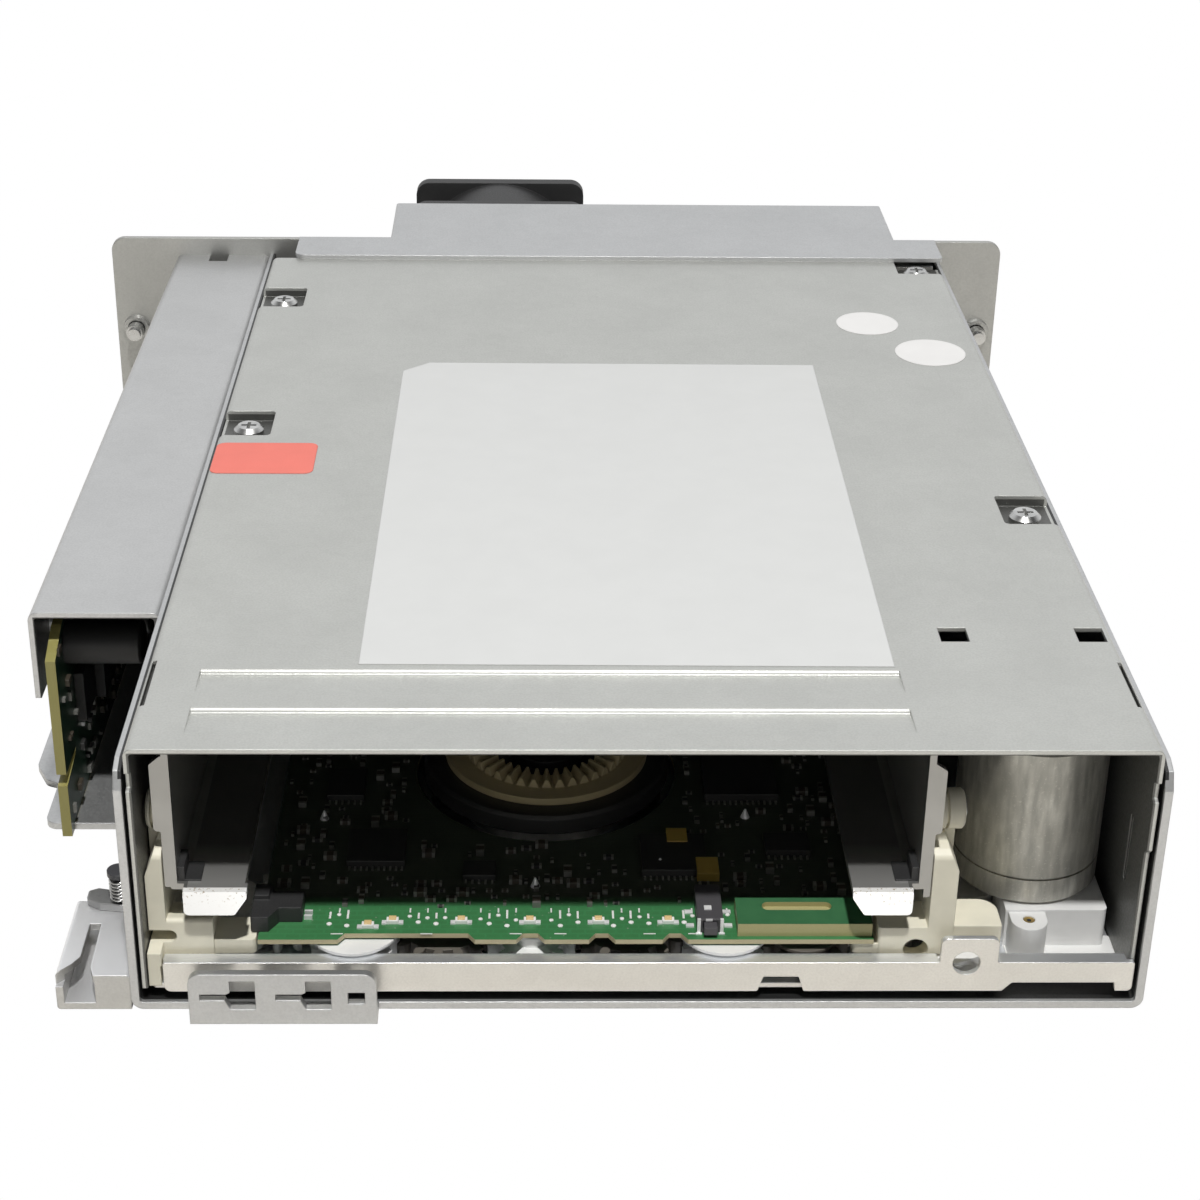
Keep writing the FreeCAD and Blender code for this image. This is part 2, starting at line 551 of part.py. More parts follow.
# ================================================================ the drive's shell
def front_bar():
    """Face of the folded bar across the drive's mouth."""
    hole_x, hole_z, hole_r = BAR_HOLE
    face = front([(BAR_X0, DRIVE_FLOOR), (17.4, DRIVE_FLOOR), (18.2, 5.4), (23.4, 5.4), (24.2, DRIVE_FLOOR),
                  (53.6, DRIVE_FLOOR), (55.0, 4.3), (70.2, 4.3), (70.4, DRIVE_FLOOR), (BAR_X1, DRIVE_FLOOR),
                  (BAR_X1, BAR_TOP), (52.6, BAR_TOP), (52.6, 12.1), (44.1, 12.1), (44.1, BAR_TOP),
                  (BAR_X0, BAR_TOP)], 0, BAR_SHEET,
                 [1.0, 0.3, 0.3, 0.3, 0.3, 0.3, 0.6, 0.1, 0.1, 0.8, 0.3, 0.3, 1.0, 1.0, 0.3, 0.3])
    flange = block(BAR_X0, 43.9, BAR_SHEET, BAR_FLANGE, BAR_TOP - BAR_SHEET, BAR_TOP)
    flange_right = block(52.8, 71.8, BAR_SHEET, BAR_FLANGE, BAR_TOP - BAR_SHEET, BAR_TOP)
    return cut(fuse(face, flange, flange_right), rod_y(hole_x, -1, 3, hole_z, hole_r))


def base_frame():
    """Pressed pan: floor, low side walls, back wall, front bar, board posts and cover posts."""
    half = DRIVE_HALF - SHEET - 0.2
    floor = plan([(-half, 1.6), (-half + 0.7, BAR_SHEET), (54.0, BAR_SHEET), (54.0, 5.0), (half, 5.0),
                  (half, DRIVE_LENGTH), (-half, DRIVE_LENGTH)], DRIVE_FLOOR, FLOOR_TOP)
    walls = [block(-half, -half + SHEET, 97, DRIVE_LENGTH, DRIVE_FLOOR, 13),
             block(half - SHEET, half, 45, DRIVE_LENGTH, DRIVE_FLOOR, 13)]
    back = cut(block(-half, half, DRIVE_LENGTH - SHEET, DRIVE_LENGTH, DRIVE_FLOOR, 43.0),
               front(rect(-44, 60, 8, 39), DRIVE_LENGTH - 3, DRIVE_LENGTH + 1, 2.0))
    bar = front_bar()
    posts = [rod(x, y, FLOOR_TOP, PCB_Z, 2.2) for x, y in PCB_POSTS]
    pockets = [rod(x, y, FLOOR_TOP, DRIVE_TOP - POCKET_DEPTH - SHEET, 2.9) for x, y in COVER_SCREWS]
    wheels = gear_layout() + [drive_pinion_layout()]
    seats = [rod(g["x"], g["y"], FLOOR_TOP, FLOOR_TOP + 0.5, 2.0) for g in wheels]
    joggle = block(53.9, BAR_X1 - 1, 0.3, BAR_SHEET + 0.01, DRIVE_FLOOR + 1.5, 6)
    runners = [block(x, x + 1, y, 92, FLOOR_TOP, SLIDER_Z0 - 0.05)
               for x, y in [(-69.5, 6), (-65.5, 24), (46.5, 6), (51, 6)]]
    body = fuse(floor, back, bar, joggle, *(walls + posts + pockets + seats + runners))
    holes = [rod(x, y, DRIVE_FLOOR - 1, FLOOR_TOP + 1, 1.5) for x, y in DRIVE_SCREWS]
    holes += [rod(x, y, 30, 45, 1.3) for x, y in COVER_SCREWS]
    return cut(body, *holes)


def cover_pocket(x, y, open_to):
    """Outer and inner outlines of the sunk seat for a cover screw, open at the cover's edge."""
    edge = math.copysign(DRIVE_HALF + 1, open_to)
    inner_edge = x - math.copysign(4.4, open_to)
    outer = rect(min(edge, inner_edge), max(edge, inner_edge), y - 5.0, y + 6.0)
    grow = math.copysign(SHEET, open_to)
    limit = math.copysign(DRIVE_HALF - SHEET, open_to)
    shell = rect(min(limit, inner_edge - grow), max(limit, inner_edge - grow), y - 5.0 - SHEET,
                 y + 6.0 + SHEET)
    return outer, shell


def top_cover():
    """Cover sheet with two wedge beads that sink toward their back edge, screw seats and square holes."""
    low = DRIVE_FLOOR + 0.6
    body = bent_sheet([(DRIVE_HALF, low), (DRIVE_HALF, DRIVE_TOP), (-DRIVE_HALF, DRIVE_TOP),
                       (-DRIVE_HALF, low)],
                      SHEET, 0, DRIVE_LENGTH - SHEET - 0.2, 0.5)
    under = DRIVE_TOP - SHEET
    for y0, y1 in BEADS:
        low_top = DRIVE_TOP - BEAD_DEPTH
        low_under = under - BEAD_DEPTH
        pressed = side([(y0 - 0.5, under + 0.05), (y1 - 0.2, low_under), (y1 + 0.5, low_under),
                        (y1 + 0.8, under + 0.05)], BEAD_X0 - 0.5, BEAD_X1 + 0.5)
        hollow = side([(y0, DRIVE_TOP), (y1 - 0.5, low_top), (y1 - 0.3, low_top + 0.06),
                       (y1 - 0.2, low_top + 0.2),
                       (y1 - 0.1, DRIVE_TOP - 0.3), (y1 + 0.1, DRIVE_TOP - 0.1), (y1 + 0.4, DRIVE_TOP),
                       (y1 + 0.4, DRIVE_TOP + 1), (y0, DRIVE_TOP + 1)], BEAD_X0, BEAD_X1)
        body = fuse(body, pressed).cut(hollow)
    floor_z = DRIVE_TOP - POCKET_DEPTH
    for x, y in COVER_SCREWS[:3]:
        outer, shell = cover_pocket(x, y, x)
        seat = plan(shell, floor_z - SHEET, under + 0.05, [1.5 if x > 0 else 0.2, 0.2 if x > 0 else 1.5,
                                                           0.2 if x > 0 else 1.5, 1.5 if x > 0 else 0.2])
        body = fuse(body, seat)
        body = body.cut(plan(outer, floor_z, DRIVE_TOP + 1, 0.9))
    x, y = COVER_SCREWS[3]
    ear = plan(rect(x - 4.0, DRIVE_HALF - SHEET, y - 3.4, DRIVE_LENGTH - 1.2), floor_z - SHEET, floor_z, 0.4)
    body = body.cut(block(x - 4.4, DRIVE_HALF + 1, y - 3.0, DRIVE_LENGTH, floor_z, DRIVE_TOP + 1))
    step = block(x - 4.4, DRIVE_HALF - SHEET, y - 3.8, y - 3.0, floor_z - SHEET, under + 0.05)
    body = fuse(body, ear, step)
    cutters = [rod(sx, sy, floor_z - 3, floor_z + 1, 1.6) for sx, sy in COVER_SCREWS]
    cutters += [block(hx, hx + 4.4, 31.3, 35.7, under - 1, DRIVE_TOP + 1) for hx in (46.3, 67.4)]
    for edge in (-1, 1):
        lance_x = edge * (DRIVE_HALF - SHEET - 0.1)
        cutters.append(block(lance_x - 0.35, lance_x + 0.35, 12, 25, under - 0.5, DRIVE_TOP + 1))
    cutters.append(side(rect(8.0, 9.4, 16.6, 28.0), DRIVE_HALF - 2, DRIVE_HALF + 1, 0.6))
    for edge, z0, z1 in ((1, 35.3, 39.3), (-1, 37.0, 40.8)):
        notch = side([(-1, z0), (0.9, z0 + 0.7), (0.9, z1 - 0.7), (-1, z1)], DRIVE_HALF - 2, DRIVE_HALF + 1)
        cutters.append(notch if edge > 0 else notch.mirror(V(0, 0, 0), V(1, 0, 0)))
    cutters.append(side([(-1, low - 1), (1.0, low - 1), (1.0, 26.6), (0.0, 27.6), (-1, 27.6)],
                        DRIVE_HALF - 2, DRIVE_HALF + 1))
    return cut(body, *cutters)


def cover_screws():
    z = DRIVE_TOP - POCKET_DEPTH
    return Part.makeCompound([pan_screw(x, y, z, 2.75, 1.8, 1.3, 7.0) for x, y in COVER_SCREWS])


# ================================================================ boards and front parts
def main_board():
    """Circuit board under the cartridge bay, its front edge notched over the load gears."""
    edge = [(PCB_X0, PCB_Y0)]
    for x0, x1 in PCB_NOTCHES:
        edge += [(x0, PCB_Y0), (x0 + 1.0, PCB_Y0 + 1.5), (x1 - 1.0, PCB_Y0 + 1.5), (x1, PCB_Y0)]
    edge += [(PCB_X1, PCB_Y0), (PCB_X1, PCB_Y1), (PCB_X0, PCB_Y1)]
    board = plan(edge, PCB_Z, PCB_TOP)
    return cut(board, rod(REEL_X, REEL_Y, PCB_Z - 1, PCB_TOP + 1, REEL_R + 1.2))


def board_chips():
    """Larger packages on the main board: x, y, width, depth, height."""
    chips = [(-40, 26, 9, 9, 1.2), (-24, 20, 5, 4, 1.0), (6, 24, 10, 10, 1.3), (24, 27, 7, 5, 1.1),
             (-46, 44, 6, 8, 1.2),
             (18, 46, 12, 12, 1.4), (-42, 62, 10, 7, 1.2), (24, 64, 8, 10, 1.2), (-30, 84, 14, 14, 1.5),
             (-4, 86, 12, 8, 1.2), (18, 86, 14, 10, 1.4), (-46, 80, 6, 6, 1.0)]
    return Part.makeCompound([block(x - w / 2, x + w / 2, y - d / 2, y + d / 2, PCB_TOP, PCB_TOP + h)
                              for x, y, w, d, h in chips])


def memory_antenna():
    """Reader block for the cartridge's memory chip, with a long slot in its top."""
    body = block(14.5, 34.4, 3.9, 10.5, PCB_TOP, 12.0)
    slot = plan(rect(18.4, 28.8, 7.4, 9.4), 11.2, 13, 0.95)
    return cut(body, slot)


def cartridge_sensor():
    """Moulded switch block at the board's front-left corner, with a taller end post."""
    body = plan([(-57.4, 5.0), (-54.8, 5.0), (-53.4, 7.4), (-50.0, 7.4), (-50.0, 12.8), (-57.4, 12.8)],
                PCB_TOP, 12.4, [0.4, 0.3, 0.3, 0.3, 0.4, 0.4])
    post = block(-57.2, -55.0, 9.4, 12.4, 12.4, 13.2)
    step = block(-54.6, -49.0, 11.2, 14.0, 11.6, 13.5)
    return cut(fuse(body, post), step)


def eject_switch():
    body = plan(rect(8.6, 12.4, 4.8, 13.6), PCB_TOP, 12.2, 0.4)
    return cut(body, block(9.4, 11.6, 4.0, 8.2, 10.3, 11.8))


def eject_button():
    return block(9.5, 11.5, 3.3, 7.4, 10.4, 11.7)


# ================================================================ load mechanism
def gear_pins():
    pins = []
    for g in gear_layout():
        top = GEAR_Z1 + (g["disc_up"] - 0.1 if g["disc_r"] else 0.5)
        pins.append(rod(g["x"], g["y"], FLOOR_TOP + 0.5, top, PIN_R))
    pins.append(rod(PINION_X, PINION_Y, FLOOR_TOP + 0.5, GEAR_Z1 + 0.2, PIN_R))
    return Part.makeCompound(pins)


def load_motor():
    """Brushed motor can standing on the gearbox."""
    can = rod(MOTOR_X, MOTOR_Y, GEARBOX_TOP, MOTOR_TOP, MOTOR_R)
    rims = [e for e in can.Edges if e.BoundBox.XLength > MOTOR_R and e.BoundBox.ZLength < FLAT]
    can = can.makeChamfer(0.6, rims)
    groove = tube(MOTOR_X, MOTOR_Y, 14.6, 15.0, MOTOR_R + 1, MOTOR_R - 0.3)
    cap = rod(MOTOR_X, MOTOR_Y, MOTOR_TOP, MOTOR_TOP + 1.6, 7.5)
    lugs = [block(MOTOR_X + s * 5 - 0.3, MOTOR_X + s * 5 + 0.3, MOTOR_Y - 1.2, MOTOR_Y + 1.2, MOTOR_TOP,
                  MOTOR_TOP + 4)
            for s in (-1, 1)]
    return fuse(can.cut(groove), cap, *lugs)


def gearbox_housing():
    """Moulded base under the motor, with a screw boss on its front face."""
    box = plan(rect(55.4, 70.8, GEARBOX_Y0, 37.0), FLOOR_TOP, GEARBOX_TOP, [0, 0.8, 2.0, 2.0])
    boss = fuse(rod(BOSS_X, BOSS_Y, FLOOR_TOP, BOSS_TOP, BOSS_R),
                block(BOSS_X - BOSS_R, BOSS_X + BOSS_R, BOSS_Y, GEARBOX_Y0 + 0.5, FLOOR_TOP, BOSS_TOP))
    well = rod(PINION_X, PINION_Y, FLOOR_TOP - 1, GEAR_Z1 + 1.2, WELL_R)
    return cut(fuse(box, boss), well, rod(BOSS_X, BOSS_Y, BOSS_TOP - 2.0, BOSS_TOP + 1, 0.9))


def slider_fork(x0, x1):
    """Upright fork that holds the carriage's drive pin."""
    plate = side([(LUG_Y - 3.4, SLIDER_Z0), (LUG_Y + 3.4, SLIDER_Z0), (LUG_Y + 2.8, 13.7),
                  (LUG_Y - 2.8, 13.7)], x0, x1)
    slot = side(rect(LUG_Y - LUG_PIN_R - 0.1, LUG_Y + LUG_PIN_R + 0.1, SLIDER_Z1 + 0.2, 15), x0 - 1, x1 + 1)
    return plate.cut(slot)


def left_slider():
    """Rack slide along the left wall."""
    tooth_y = rack_tooth_y(gear_layout()[0], RACK_LEFT_X)
    teeth = rack_points(RACK_LEFT_X, 1, 1.6, 20.6, tooth_y)
    body = plan([(-69.9, 1.6)] + teeth + [(-64.6, 22.0), (-64.6, LUG_Y + 7), (-69.9, LUG_Y + 7)], SLIDER_Z0,
                SLIDER_Z1)
    arm = block(-68.0, -62.6, LUG_Y - 3.4, LUG_Y + 3.4, SLIDER_Z0, SLIDER_Z1)
    return fuse(body, arm, slider_fork(-64.4, -62.6))


def right_slider():
    """Rack slide along the right of the bay; its inner rack turns the cross gears."""
    inner_y = rack_tooth_y(gear_layout()[-1], RACK_RIGHT_X)
    inner = rack_points(RACK_RIGHT_X, -1, 1.6, 20.6, inner_y)
    outer = rack_points(RACK_DRIVE_X, 1, 8.6, 30.6, inner_y)
    body = plan(inner[::-1] + [(47.0, 1.6), (50.6, 3.4), (50.6, 8.6)] + outer + [(51.4, 32.0),
                                                                                 (51.4, LUG_Y + 7),
                (44.6, LUG_Y + 7), (44.6, 22.0)], SLIDER_Z0, SLIDER_Z1)
    arm = block(35.8, 46.0, LUG_Y - 3.4, LUG_Y + 3.4, SLIDER_Z0, SLIDER_Z1)
    return fuse(body, arm, slider_fork(35.8, 37.6))


def ramp_outline(y):
    """Ramp under a roller that stands at y: nose, slope and heel."""
    gap = (ROLLER_R + 0.3) * math.sqrt(1 + RAMP_SLOPE ** 2)
    high = ROLLER_Z - gap + RAMP_SLOPE * 2.0
    low = ROLLER_Z - gap - RAMP_SLOPE * 13.5
    return [(y - 5.8, GUIDE_Z), (y - 5.8, high - 2.0), (y - 4.6, high - 1.2), (y - 2.8, high - 1.0),
            (y - 2.0, high),
            (y + 13.5, low), (y + 17, low), (y + 19, GUIDE_Z)]


def guide_rail(x0, x1):
    """Front and rear ramps on one low rail."""
    ramps = [side(ramp_outline(y), x0, x1, [0, 1.0, 0.5, 0.3, 0.3, 0.3, 1.2, 0]) for y in ROLLER_Y]
    rail = block(x0, x1, ROLLER_Y[0] - 5.8, ROLLER_Y[1] + 19, GUIDE_Z, 9.2)
    return fuse(rail, *ramps)


def left_guide():
    rail = guide_rail(-72.0, -69.4)
    foot = block(-72.0, -70.2, 0.3, ROLLER_Y[1] + 19, FLOOR_TOP, GUIDE_Z)
    nose = block(-72.0, -70.0, 0.3, 8.0, GUIDE_Z, 11.0)
    head = side([(3.2, GUIDE_Z), (3.2, 13.4), (10.0, 11.6), (10.0, GUIDE_Z)], -70.5, -62.6, [0, 0.6, 0.3, 0])
    toe = plan(rect(-63.6, -56.5, 3.4, 9.0), GUIDE_Z, 9.6, [0.3, 0.8, 0.8, 0.3])
    slot = front(rect(-73.5, -68.0, 9.3, 11.4), -1, 12, [0, 1.0, 1.0, 0])
    bevel = front([(-73.0, 20.6), (-72.1, 20.6), (-70.0, 26.4), (-70.0, 28.0), (-73.0, 28.0)], 2.5, 8.9)
    return cut(fuse(rail, foot, nose, head, toe), slot, bevel)


def right_guide():
    rail = guide_rail(42.5, 46.3)
    head = plan(rect(46.0, 53.5, 3.4, 10.2), GUIDE_Z, 12.0, [0.3, 0.3, 2.8, 0.3])
    toe = plan(rect(35.2, 42.8, 3.2, 10.0), GUIDE_Z, 11.8, [0.6, 0.3, 0.3, 1.5])
    sole = plan(rect(31.4, 36.0, 3.4, 8.4), GUIDE_Z, 8.8, [0.8, 0.3, 0.3, 0.8])
    legs = [block(36.0, 43.6, 3.2, 6.2, FLOOR_TOP, GUIDE_Z), block(42.5, 43.6, 26, 42, FLOOR_TOP, GUIDE_Z),
            block(42.5, 43.6, 74, ROLLER_Y[1] + 19, FLOOR_TOP, GUIDE_Z)]
    bevel = front([(48.0, 21.6), (46.4, 21.6), (44.3, 26.4), (44.3, 28.0), (48.0, 28.0)], 2.5, 8.9)
    screw_x, screw_z, screw_r = BAR_HOLE
    return cut(fuse(rail, head, toe, sole, *legs), rod_y(40.9, 0, 8, 7.9, 1.85),
               rod_y(screw_x, 0, 9.0, screw_z, screw_r + 0.1), bevel)


# ================================================================ the cartridge carriage
def rail_lip(x0, x1, chamfer_x):
    """Lead-in tab bent down from a shelf; its inner lower corner is cut off."""
    z0, z1 = 15.3, SHELF_TOP
    if chamfer_x > x0 and chamfer_x > x1 - 4:
        points = [(x0, z0), (chamfer_x, z0), (x1, z0 + 2.9), (x1, z1), (x0, z1)]
    else:
        points = [(chamfer_x, z0), (x1, z0), (x1, z1), (x0, z1), (x0, z0 + 2.9)]
    tab = front(points, 1.5, 2.5, [0.8, 0.5, 0.5, 0.3, 0.3] if chamfer_x > x1 - 4 else [0.5, 0.8, 0.3, 0.3,
                                                                                        0.5])
    return tab.fuse(block(x0, x1, 2.0, CAR_Y0 + 0.1, SHELF_TOP - CAR_SHEET, SHELF_TOP))


def carriage_lug(x0, x1, pin_x0, pin_x1):
    plate = side([(LUG_Y - 3, SHELF_TOP - 0.5), (LUG_Y - 3, 12.6), (LUG_Y - 1.2, 11.2), (LUG_Y + 1.2, 11.2),
                  (LUG_Y + 3, 12.6), (LUG_Y + 3, SHELF_TOP - 0.5)], x0, x1)
    return plate.fuse(rod_x(pin_x0, pin_x1, LUG_Y, LUG_PIN_Z, LUG_PIN_R))


def cartridge_carriage():
    """Folded cage that holds the cartridge: roof, two rails with shelves, lips, stops and studs."""
    out0, out1 = RAIL_X0 - CAR_SHEET, RAIL_X1 + CAR_SHEET
    low = SHELF_TOP - CAR_SHEET
    cage = bent_sheet([(RAIL_X0 + SHELF_W, low), (out0, low), (out0, CAR_TOP), (out1, CAR_TOP), (out1, low),
                       (RAIL_X1 - SHELF_W, low)], -CAR_SHEET, CAR_Y0, CAR_Y1, 0.4)
    parts = [rail_lip(-66.4, -57.2, -59.1), rail_lip(30.8, 39.6, 32.6)]
    parts.append(front([(out0 - 1.8, 28.4), (out0 - 1.8, 39.6), (out0 - 0.2, 41.0), (out0 + 0.2, 41.0),
                        (out0 + 0.2, low + 0.4), (out0 - 0.8, low + 0.4), (out0 - 0.8, 28.4)],
                       CAR_Y0, CAR_Y0 + CAR_SHEET, [0.6, 0.5, 0, 0, 0, 0.3, 0.3]))
    parts.append(front([(out1 + 1.7, 28.0), (out1 + 0.8, 28.0), (out1 + 0.8, low - 1.4),
                        (out1 - 0.2, low - 1.4),
                        (out1 - 0.2, 40.0), (out1 + 1.7, 38.7)], CAR_Y0, CAR_Y0 + CAR_SHEET,
                       [0.6, 0.3, 0.3, 0, 0, 0.5]))
    for x0, x1 in [(RAIL_X0 - 0.5, RAIL_X0 + 8), (RAIL_X1 - 8, RAIL_X1 + 0.5)]:
        parts.append(block(x0, x1, CAR_Y1 - CAR_SHEET, CAR_Y1, SHELF_TOP, CAR_TOP - 0.5))
    for y in ROLLER_Y:
        parts.append(rod_x(-72.0, out0 + 0.1, y, ROLLER_Z, STUD_R))
        parts.append(rod_x(out1 - 0.1, 47.6, y, ROLLER_Z, STUD_R))
    parts.append(carriage_lug(-66.6, -65.6, -65.7, -62.3))
    parts.append(carriage_lug(38.8, 39.8, 35.5, 38.9))
    slots = [side(rect(y - 6, y + 6, 33.5, 36.5), -80, 60, 1.4) for y in (34, 54)]
    return cut(fuse(cage, *parts), *slots)


def rail_pads():
    """Slide strips at the front of each shelf, standing a little off the rail."""
    pads = []
    for x0, x1, wall in [(RAIL_X0, RAIL_X0 + 3.4, RAIL_X0), (RAIL_X1 - 3.4, RAIL_X1, RAIL_X1)]:
        strip = block(x0, x1, CAR_Y0 + 0.6, CAR_Y0 + 5.2, SHELF_TOP, SHELF_TOP + 0.3)
        inward = 1.05 if wall == RAIL_X0 else -1.05
        wall_part = block(min(wall, wall + inward), max(wall, wall + inward), CAR_Y0 + 0.6, CAR_Y0 + 5.2,
                          SHELF_TOP, SHELF_TOP + 2.4)
        pads.append(fuse(strip, wall_part))
    return Part.makeCompound(pads)


def carriage_roller(x0, x1, groove_x, y):
    """Roller on a carriage stud, with a groove that parts its thin collar from its tread."""
    roller = cut(rod_x(x0, x1, y, ROLLER_Z, ROLLER_R), rod_x(x0 - 1, x1 + 1, y, ROLLER_Z, STUD_R + 0.05))
    rims = [e for e in roller.Edges if e.BoundBox.XLength < FLAT and e.BoundBox.YLength > ROLLER_R]
    roller = roller.makeChamfer(0.35, rims)
    return roller.cut(rod_x(groove_x, groove_x + 0.4, y, ROLLER_Z,
                            4).cut(rod_x(groove_x, groove_x + 0.4, y, ROLLER_Z, 2.3)))


# ================================================================ reels, head and tape path
def reel_motor():
    """Stator and spindle under the cartridge reel."""
    base = rod(REEL_X, REEL_Y, FLOOR_TOP, 5.0, 19.0)
    core = rod(REEL_X, REEL_Y, 5.0, 9.9, 15.0)
    return fuse(base, core, rod(REEL_X, REEL_Y, 9.9, REEL_TOP + 0.8, 2.0))


def reel_rotor():
    """Turning plate of the reel motor with a raised hub."""
    plate = rod(REEL_X, REEL_Y, 10.3, REEL_TOP, REEL_R)
    rims = [e for e in plate.Edges if e.BoundBox.ZMin > REEL_TOP - FLAT and e.BoundBox.ZLength < FLAT]
    plate = plate.makeChamfer(0.5, rims)
    boss = tube(REEL_X, REEL_Y, REEL_TOP, REEL_TOP + 1.6, 6.4, 2.05)
    return cut(fuse(plate, boss), rod(REEL_X, REEL_Y, 5, 16, 2.05))


def clutch_ring():
    """Ring of face teeth that takes hold of the cartridge's hub."""
    ring = tube(REEL_X, REEL_Y, REEL_TOP, REEL_TOP + 1.2, CLUTCH_R1, CLUTCH_R0)
    half = math.pi / CLUTCH_TEETH
    z = REEL_TOP + 1.2
    r0, r1 = CLUTCH_R0 + 0.2, CLUTCH_R0 + 3.8
    foot, crest = half * 0.8, half * 0.25

    def corner(r, angle, up):
        return V(REEL_X + r * math.cos(angle), REEL_Y + r * math.sin(angle), up)
    loops = []
    for r in (r0, r1):
        loops.append(Part.makePolygon([corner(r, -foot, z - 0.05), corner(r, foot, z - 0.05),
                                       corner(r, crest, z + 1.4),
                                       corner(r, -crest, z + 1.4), corner(r, -foot, z - 0.05)]))
    tooth = Part.makeLoft(loops, True, True)
    return fuse(ring, *ring_of(tooth, CLUTCH_TEETH, REEL_X, REEL_Y))


def takeup_motor():
    base = rod(TAKEUP_X, TAKEUP_Y, FLOOR_TOP, 6.0, 26.0)
    stator = rod(TAKEUP_X, TAKEUP_Y, 6.0, TAPE_Z0 - 2.0, 20.0)
    return fuse(base, stator, rod(TAKEUP_X, TAKEUP_Y, TAPE_Z0 - 2.0, TAPE_Z1, 2.5))


def takeup_reel():
    """Machine reel: hub between two pierced flanges."""
    hub = tube(TAKEUP_X, TAKEUP_Y, TAPE_Z0 - 1.0, TAPE_Z1 + 1.0, 21.0, 2.55)
    body = hub
    for z in (TAPE_Z0 - 1.0, TAPE_Z1):
        flange = tube(TAKEUP_X, TAKEUP_Y, z, z + 1.0, TAKEUP_R, 10.0)
        window = rod(TAKEUP_X + 31.5, TAKEUP_Y, z - 1, z + 2, 5.5)
        body = fuse(body, flange.cut(ring_of(window, 6, TAKEUP_X, TAKEUP_Y)))
    return cut(body, rod(TAKEUP_X, TAKEUP_Y, TAPE_Z1 - 1.5, TAPE_Z1 + 2, 7.0).cut(
        rod(TAKEUP_X, TAKEUP_Y, TAPE_Z1 - 2, TAPE_Z1 + 3, 4.0)))


def tape_deck():
    """Cast plate that carries the guide rollers and the head."""
    plate = plan([(30, 110), (50, 110), (66, 124), (66, 178), (50, 192), (34, 192), (34, 176), (42, 166),
                  (42, 136),
                  (30, 124)], 13.0, 15.0, [2, 6, 6, 6, 6, 2, 3, 3, 3, 3])
    legs = [rod(x, y, FLOOR_TOP, 13.0, 2.5) for x, y in [(36, 116), (60, 126), (60, 160), (40, 188)]]
    posts = [rod(x, y, 15.0, TAPE_Z1 + 1.5, 1.5) for x, y in TAPE_ROLLERS]
    return fuse(plate, *(legs + posts))


def guide_roller(x, y):
    """Flanged tape roller."""
    z0, z1 = TAPE_Z0 - 1.0, TAPE_Z1 + 1.0
    body = fuse(rod(x, y, z0, z1, 4.5), rod(x, y, z0, z0 + 0.8, 5.6), rod(x, y, z1 - 0.8, z1, 5.6))
    return cut(body, rod(x, y, z0 - 1, z1 + 1, 1.55))


def head_actuator():
    """Base, two guide rods and lead screw that lift the head."""
    base = block(46.0, 55.4, HEAD_Y - 8, HEAD_Y + 8, 15.0, 17.0)
    rods = [rod(50.0, HEAD_Y + s * 5.5, 17.0, 38.0, 1.0) for s in (-1, 1)]
    cap = block(47.5, 53.0, HEAD_Y - 7.5, HEAD_Y + 7.5, 38.0, 39.2)
    return fuse(base, cap, rod(50.0, HEAD_Y, 17.0, 38.0, 1.2), *rods)


def head_block():
    """Read and write head on its lift."""
    saddle = block(47.6, 56.0, HEAD_Y - 7.4, HEAD_Y + 7.4, 22.0, 32.0)
    tip = side([(HEAD_Y - 3.2, 20.5), (HEAD_Y + 3.2, 20.5), (HEAD_Y + 3.2, 33.0), (HEAD_Y - 3.2, 33.0)],
               56.0, 60.5)
    nose = [e for e in tip.Edges if e.BoundBox.XMin > 60.4 and e.BoundBox.ZLength > 5]
    tip = tip.makeFillet(1.4, nose)
    bores = [rod(50.0, HEAD_Y + s * 5.5, 20, 34, 1.06) for s in (-1, 1)] + [rod(50.0, HEAD_Y, 20, 34, 1.3)]
    return cut(fuse(saddle, tip), *bores)


